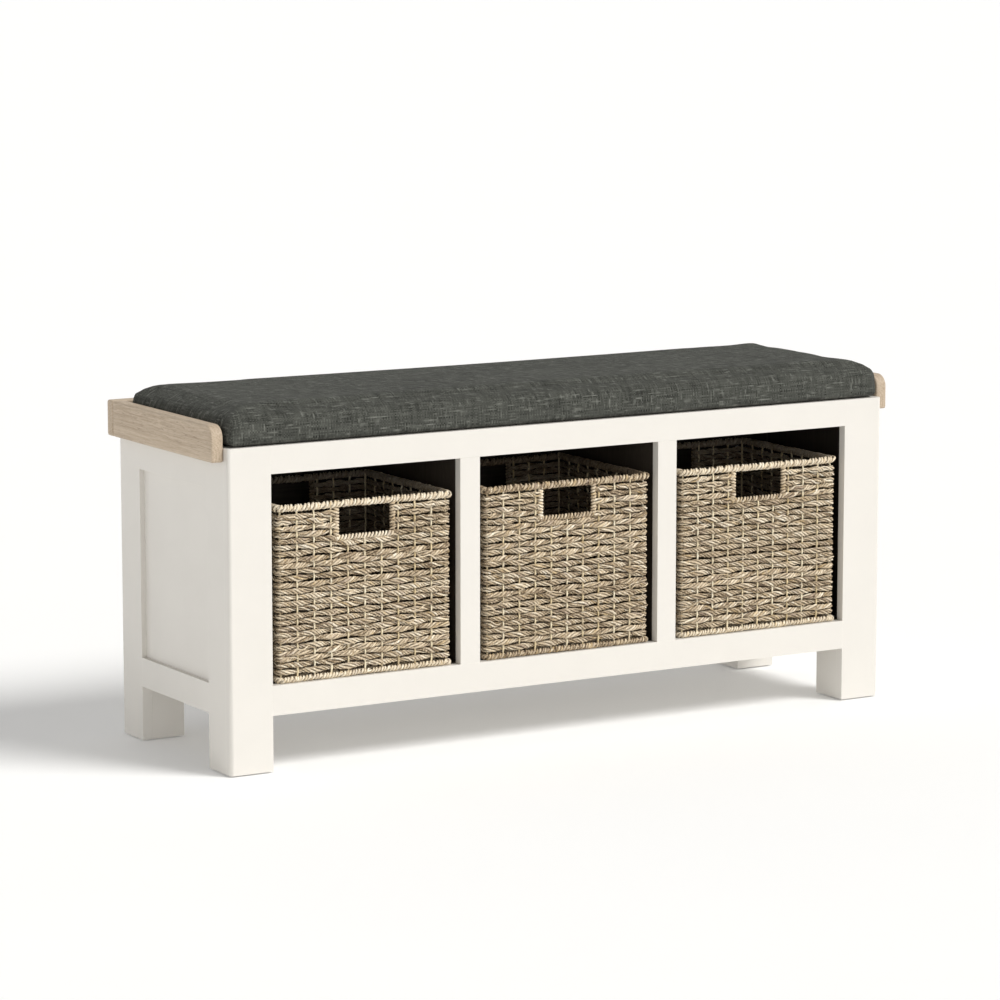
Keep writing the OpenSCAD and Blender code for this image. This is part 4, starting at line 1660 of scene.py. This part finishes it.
    def hand_holes(self) -> bpy.types.Object:
        """Binds the sides of both hand holes and lays a rope along their sills.

        Returns:
            The bindings.
        """
        mesh = self.strands(7, Seed.HAND_HOLES)
        hole = self.hole
        post = hole.width / 2 + hole.post_radius + hole.post_room
        x = np.linspace(-post - hole.sill_reach, post + hole.sill_reach, hole.sill_samples)
        turn = x * 5
        for side in (-1, 1):
            wall = self.middle[1] + side * self.wall.half_depth
            for hand in (-1, 1):
                self.bind_post(mesh, self.middle[0] + hand * post, wall, hand)
            for k in range(2):
                angle = 2 * math.pi * (x / hole.sill_lead + k / 2)
                angle += self.drift(turn, hole.sill_twist_drift)
                away = np.column_stack([np.zeros(len(x)), side * np.cos(angle), np.sin(angle)])
                line = np.column_stack([x + self.middle[0],
                                        np.full(len(x), wall + side * hole.sill_out),
                                        np.full(len(x), self.sill - hole.sill_drop)])
                width = hole.sill_strand * (1 + self.drift(turn, hole.sill_drift))
                mesh.add(line + hole.sill_radius * away, away, width)
        return self.piece("hand_holes", mesh)

    def loose_ends(self) -> bpy.types.Object:
        """Lays short loose strands over the outside of the wall, tucked in at their ends.

        Returns:
            The loose strands.
        """
        mesh = self.strands(5, Seed.LOOSE_ENDS)
        loose, random = self.loose, self.random
        low, high = self.weave_lo + loose.above_border, self.sill - loose.below_sill
        t = np.linspace(0, 1, loose.samples)
        for _ in range(loose.count):
            start = random.uniform(0, self.wall.total)
            length = random.uniform(*loose.length) * MM
            height = random.uniform(low, high)
            slope, wave = random.uniform(*loose.slope), random.uniform(*loose.wave)
            turns = loose.wave_turns * t + random.random()
            flat, outward = self.wall.follow(start + length * t)
            lift = self.sway + loose.bulge * np.sin(math.pi * t) - loose.tuck
            z = height + (slope * (t - 0.5) + wave * np.sin(2 * math.pi * turns)) * MM
            normal = level(outward)
            line = np.column_stack([flat + self.middle, z]) + normal * lift[:, None]
            width = random.uniform(*loose.radius) * MM
            mesh.add(line, normal, width, tone=random.uniform(*loose.tone))
        return self.piece("loose_ends", mesh)

    def shade_inside(self, piece: bpy.types.Object) -> None:
        """Marks the sides of the strands that face into the basket for painted shade, as the inside
        of the basket lies in shade.

        Args:
            piece: A piece of the basket's wall.
        """
        mesh = piece.data
        count = len(mesh.vertices)
        place, facing = np.zeros(count * 3, np.float32), np.zeros(count * 3, np.float32)
        deep = np.zeros(count, np.float32)
        mark = mesh.attributes[StrandMesh.SHADE_MARK].data
        mesh.vertices.foreach_get("co", place)
        mesh.vertex_normals.foreach_get("vector", facing)
        mark.foreach_get("value", deep)
        half = (self.outer_hi - self.outer_lo) / 2
        away = (place.reshape(-1, 3)[:, :2] - self.middle) / (half.x, half.y)
        side = np.abs(away[:, 0]) > np.abs(away[:, 1])
        outward = np.where(side[:, None], (1.0, 0.0), (0.0, 1.0)) * np.sign(away)
        turned = (facing.reshape(-1, 3)[:, :2] * outward).sum(1)
        # Painted shade: the sides that face into the basket are marked darker.
        deep = np.clip(np.maximum(deep, 0.35 - 1.3 * turned), 0, 1)
        mark.foreach_set("value", deep.astype(np.float32))

    def base(self) -> bpy.types.Object:
        """Weaves the flat base inside the border.

        Returns:
            The base.
        """
        lo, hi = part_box(f"{self.name}_base")
        mesh = self.strands(6, Seed.BASE)
        mat, size = self.mat, hi - lo
        counts = [int(size.x / mat.pitch), int(size.y / mat.pitch)]
        for way, sign in ((0, 1), (1, -1)):
            other = 1 - way
            for k in range(counts[other]):
                t = np.linspace(0, 1, counts[way] * 2)
                line = np.zeros((len(t), 3))
                line[:, way] = lo[way] - mat.tuck + t * (size[way] + 2 * mat.tuck)
                line[:, other] = lo[other] + size[other] * (k + 0.5) / counts[other]
                crossing = (line[:, way] - lo[way]) / size[way] * counts[way] - 0.5
                line[:, 2] = (lo.z + hi.z) / 2 + sign * mat.sway * np.cos(math.pi * (crossing + k))
                line[:, other] += self.drift(t, mat.side_drift)
                width = mat.strand * (1 + self.drift(t, mat.width_drift))
                mesh.add(line, np.tile(UP, (len(t), 1)), width)
        return self.piece("base_mat", mesh)

    def build(self) -> None:
        """Builds the basket's pieces and puts them in their nodes' places."""
        first, second = self.weft()
        stakes = self.stakes()
        holes = self.hand_holes()
        rim = self.wrapped(self.rim, self.outer_hi.z - self.rim_drop)
        border = self.wrapped(self.border, self.outer_lo.z + self.border_rise)
        loose = self.loose_ends()
        base = self.base()
        for piece in (first, second, stakes, holes, rim):
            self.shade_inside(piece)
        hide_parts(f"{self.name}_weave")
        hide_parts(f"{self.name}_rim")
        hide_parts(f"{self.name}_border")
        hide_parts(f"{self.name}_base")
        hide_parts(f"{self.name}_wire")
        LOG.info("%s: %d rows, %s and %s", self.name, self.rows, holes.name, loose.name)


# ---------- studio ----------


@dataclass
class Studio:
    """The pale floor, the soft light and the camera."""

    floor_size: float = 120.0
    floor_light: Colour = (0.95, 0.95, 0.945)
    floor_dark: Colour = (0.93, 0.93, 0.925)
    floor_glow: float = 0.08
    camera_place: Place = (-2.8803, -4.8132, 1.1781)
    camera_yaw: float = 30.772
    camera_pitch: float = 8.774
    lens: float = 143.05
    zenith_strength: float = 0.25
    horizon_strength: float = 1.2
    key_strength: float = 2.45
    key_elevation: float = 45.0
    key_azimuth: float = 38.0
    key_spread: float = 26.0
    sky_colour: Colour = (1.0, 0.995, 0.985)
    key_colour: Colour = (1.0, 0.99, 0.97)

    def floor(self) -> None:
        """Lays the floor."""
        half = self.floor_size / 2
        mesh = bpy.data.meshes.new("floor")
        corners = [(-half, -half, 0), (half, -half, 0), (half, half, 0), (-half, half, 0)]
        mesh.from_pydata(corners, [], [(0, 1, 2, 3)])
        floor = bpy.data.objects.new("floor", mesh)
        bpy.context.scene.collection.objects.link(floor)
        made = bpy.data.materials.new("studio_floor")
        made.use_nodes = True
        net = Net(made.node_tree)
        shader = made.node_tree.nodes["Principled BSDF"]
        mottle = net.noise(net.place(), 3.0, 3.0)
        colour = net.mix(mottle, rgba(self.floor_dark), rgba(self.floor_light))
        net.tree.links.new(colour, shader.inputs["Base Color"])
        shader.inputs["Roughness"].default_value = 0.85
        shader.inputs["Specular IOR Level"].default_value = 0.1
        shader.inputs["Emission Color"].default_value = rgba((1.0, 1.0, 1.0))
        shader.inputs["Emission Strength"].default_value = self.floor_glow
        mesh.materials.append(made)

    def light(self) -> None:
        """Sets the sky, brighter towards the horizon, and the soft key light."""
        world = bpy.data.worlds.new("studio")
        world.use_nodes = True
        sky = world.node_tree.nodes["Background"]
        sky.inputs["Color"].default_value = rgba(self.sky_colour)
        net = Net(world.node_tree)
        up = net.parts(net.node("TexCoord").outputs["Generated"])[2]
        low = net.math("POWER", net.math("SUBTRACT", 1.0, net.math("MAXIMUM", up, 0.0)), 2.0)
        strength = net.plus(net.times(low, self.horizon_strength), self.zenith_strength)
        net.tree.links.new(strength, sky.inputs["Strength"])
        bpy.context.scene.world = world
        sun = bpy.data.lights.new("key", "SUN")
        sun.energy = self.key_strength
        sun.angle = math.radians(self.key_spread)
        sun.color = self.key_colour
        lamp = bpy.data.objects.new("key", sun)
        tilt = math.radians(90 - self.key_elevation)
        lamp.rotation_euler = (tilt, 0, math.radians(self.key_azimuth))
        bpy.context.scene.collection.objects.link(lamp)

    def camera(self) -> None:
        """Places the camera."""
        data = bpy.data.cameras.new("camera")
        data.lens = self.lens
        data.clip_end = 300.0
        camera = bpy.data.objects.new("camera", data)
        camera.location = self.camera_place
        tilt = math.radians(90 - self.camera_pitch)
        camera.rotation_euler = (tilt, 0, -math.radians(self.camera_yaw))
        bpy.context.scene.collection.objects.link(camera)
        bpy.context.scene.camera = camera

    def build(self) -> None:
        """Builds the studio."""
        self.floor()
        self.light()
        self.camera()
        bpy.context.scene.view_settings.view_transform = "Standard"
        LOG.info("studio: floor, light and camera")


def main() -> None:
    """Builds the bench and the studio round it."""
    logging.basicConfig(level=logging.INFO, format="%(name)s: %(message)s")
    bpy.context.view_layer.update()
    Studio().build()
    Carcass().build()
    OakGallery().build()
    Cushion().build()
    for seed, name in enumerate(("left_basket", "middle_basket", "right_basket"), start=11):
        Basket(name, seed).build()


if __name__ == "__main__":
    main()
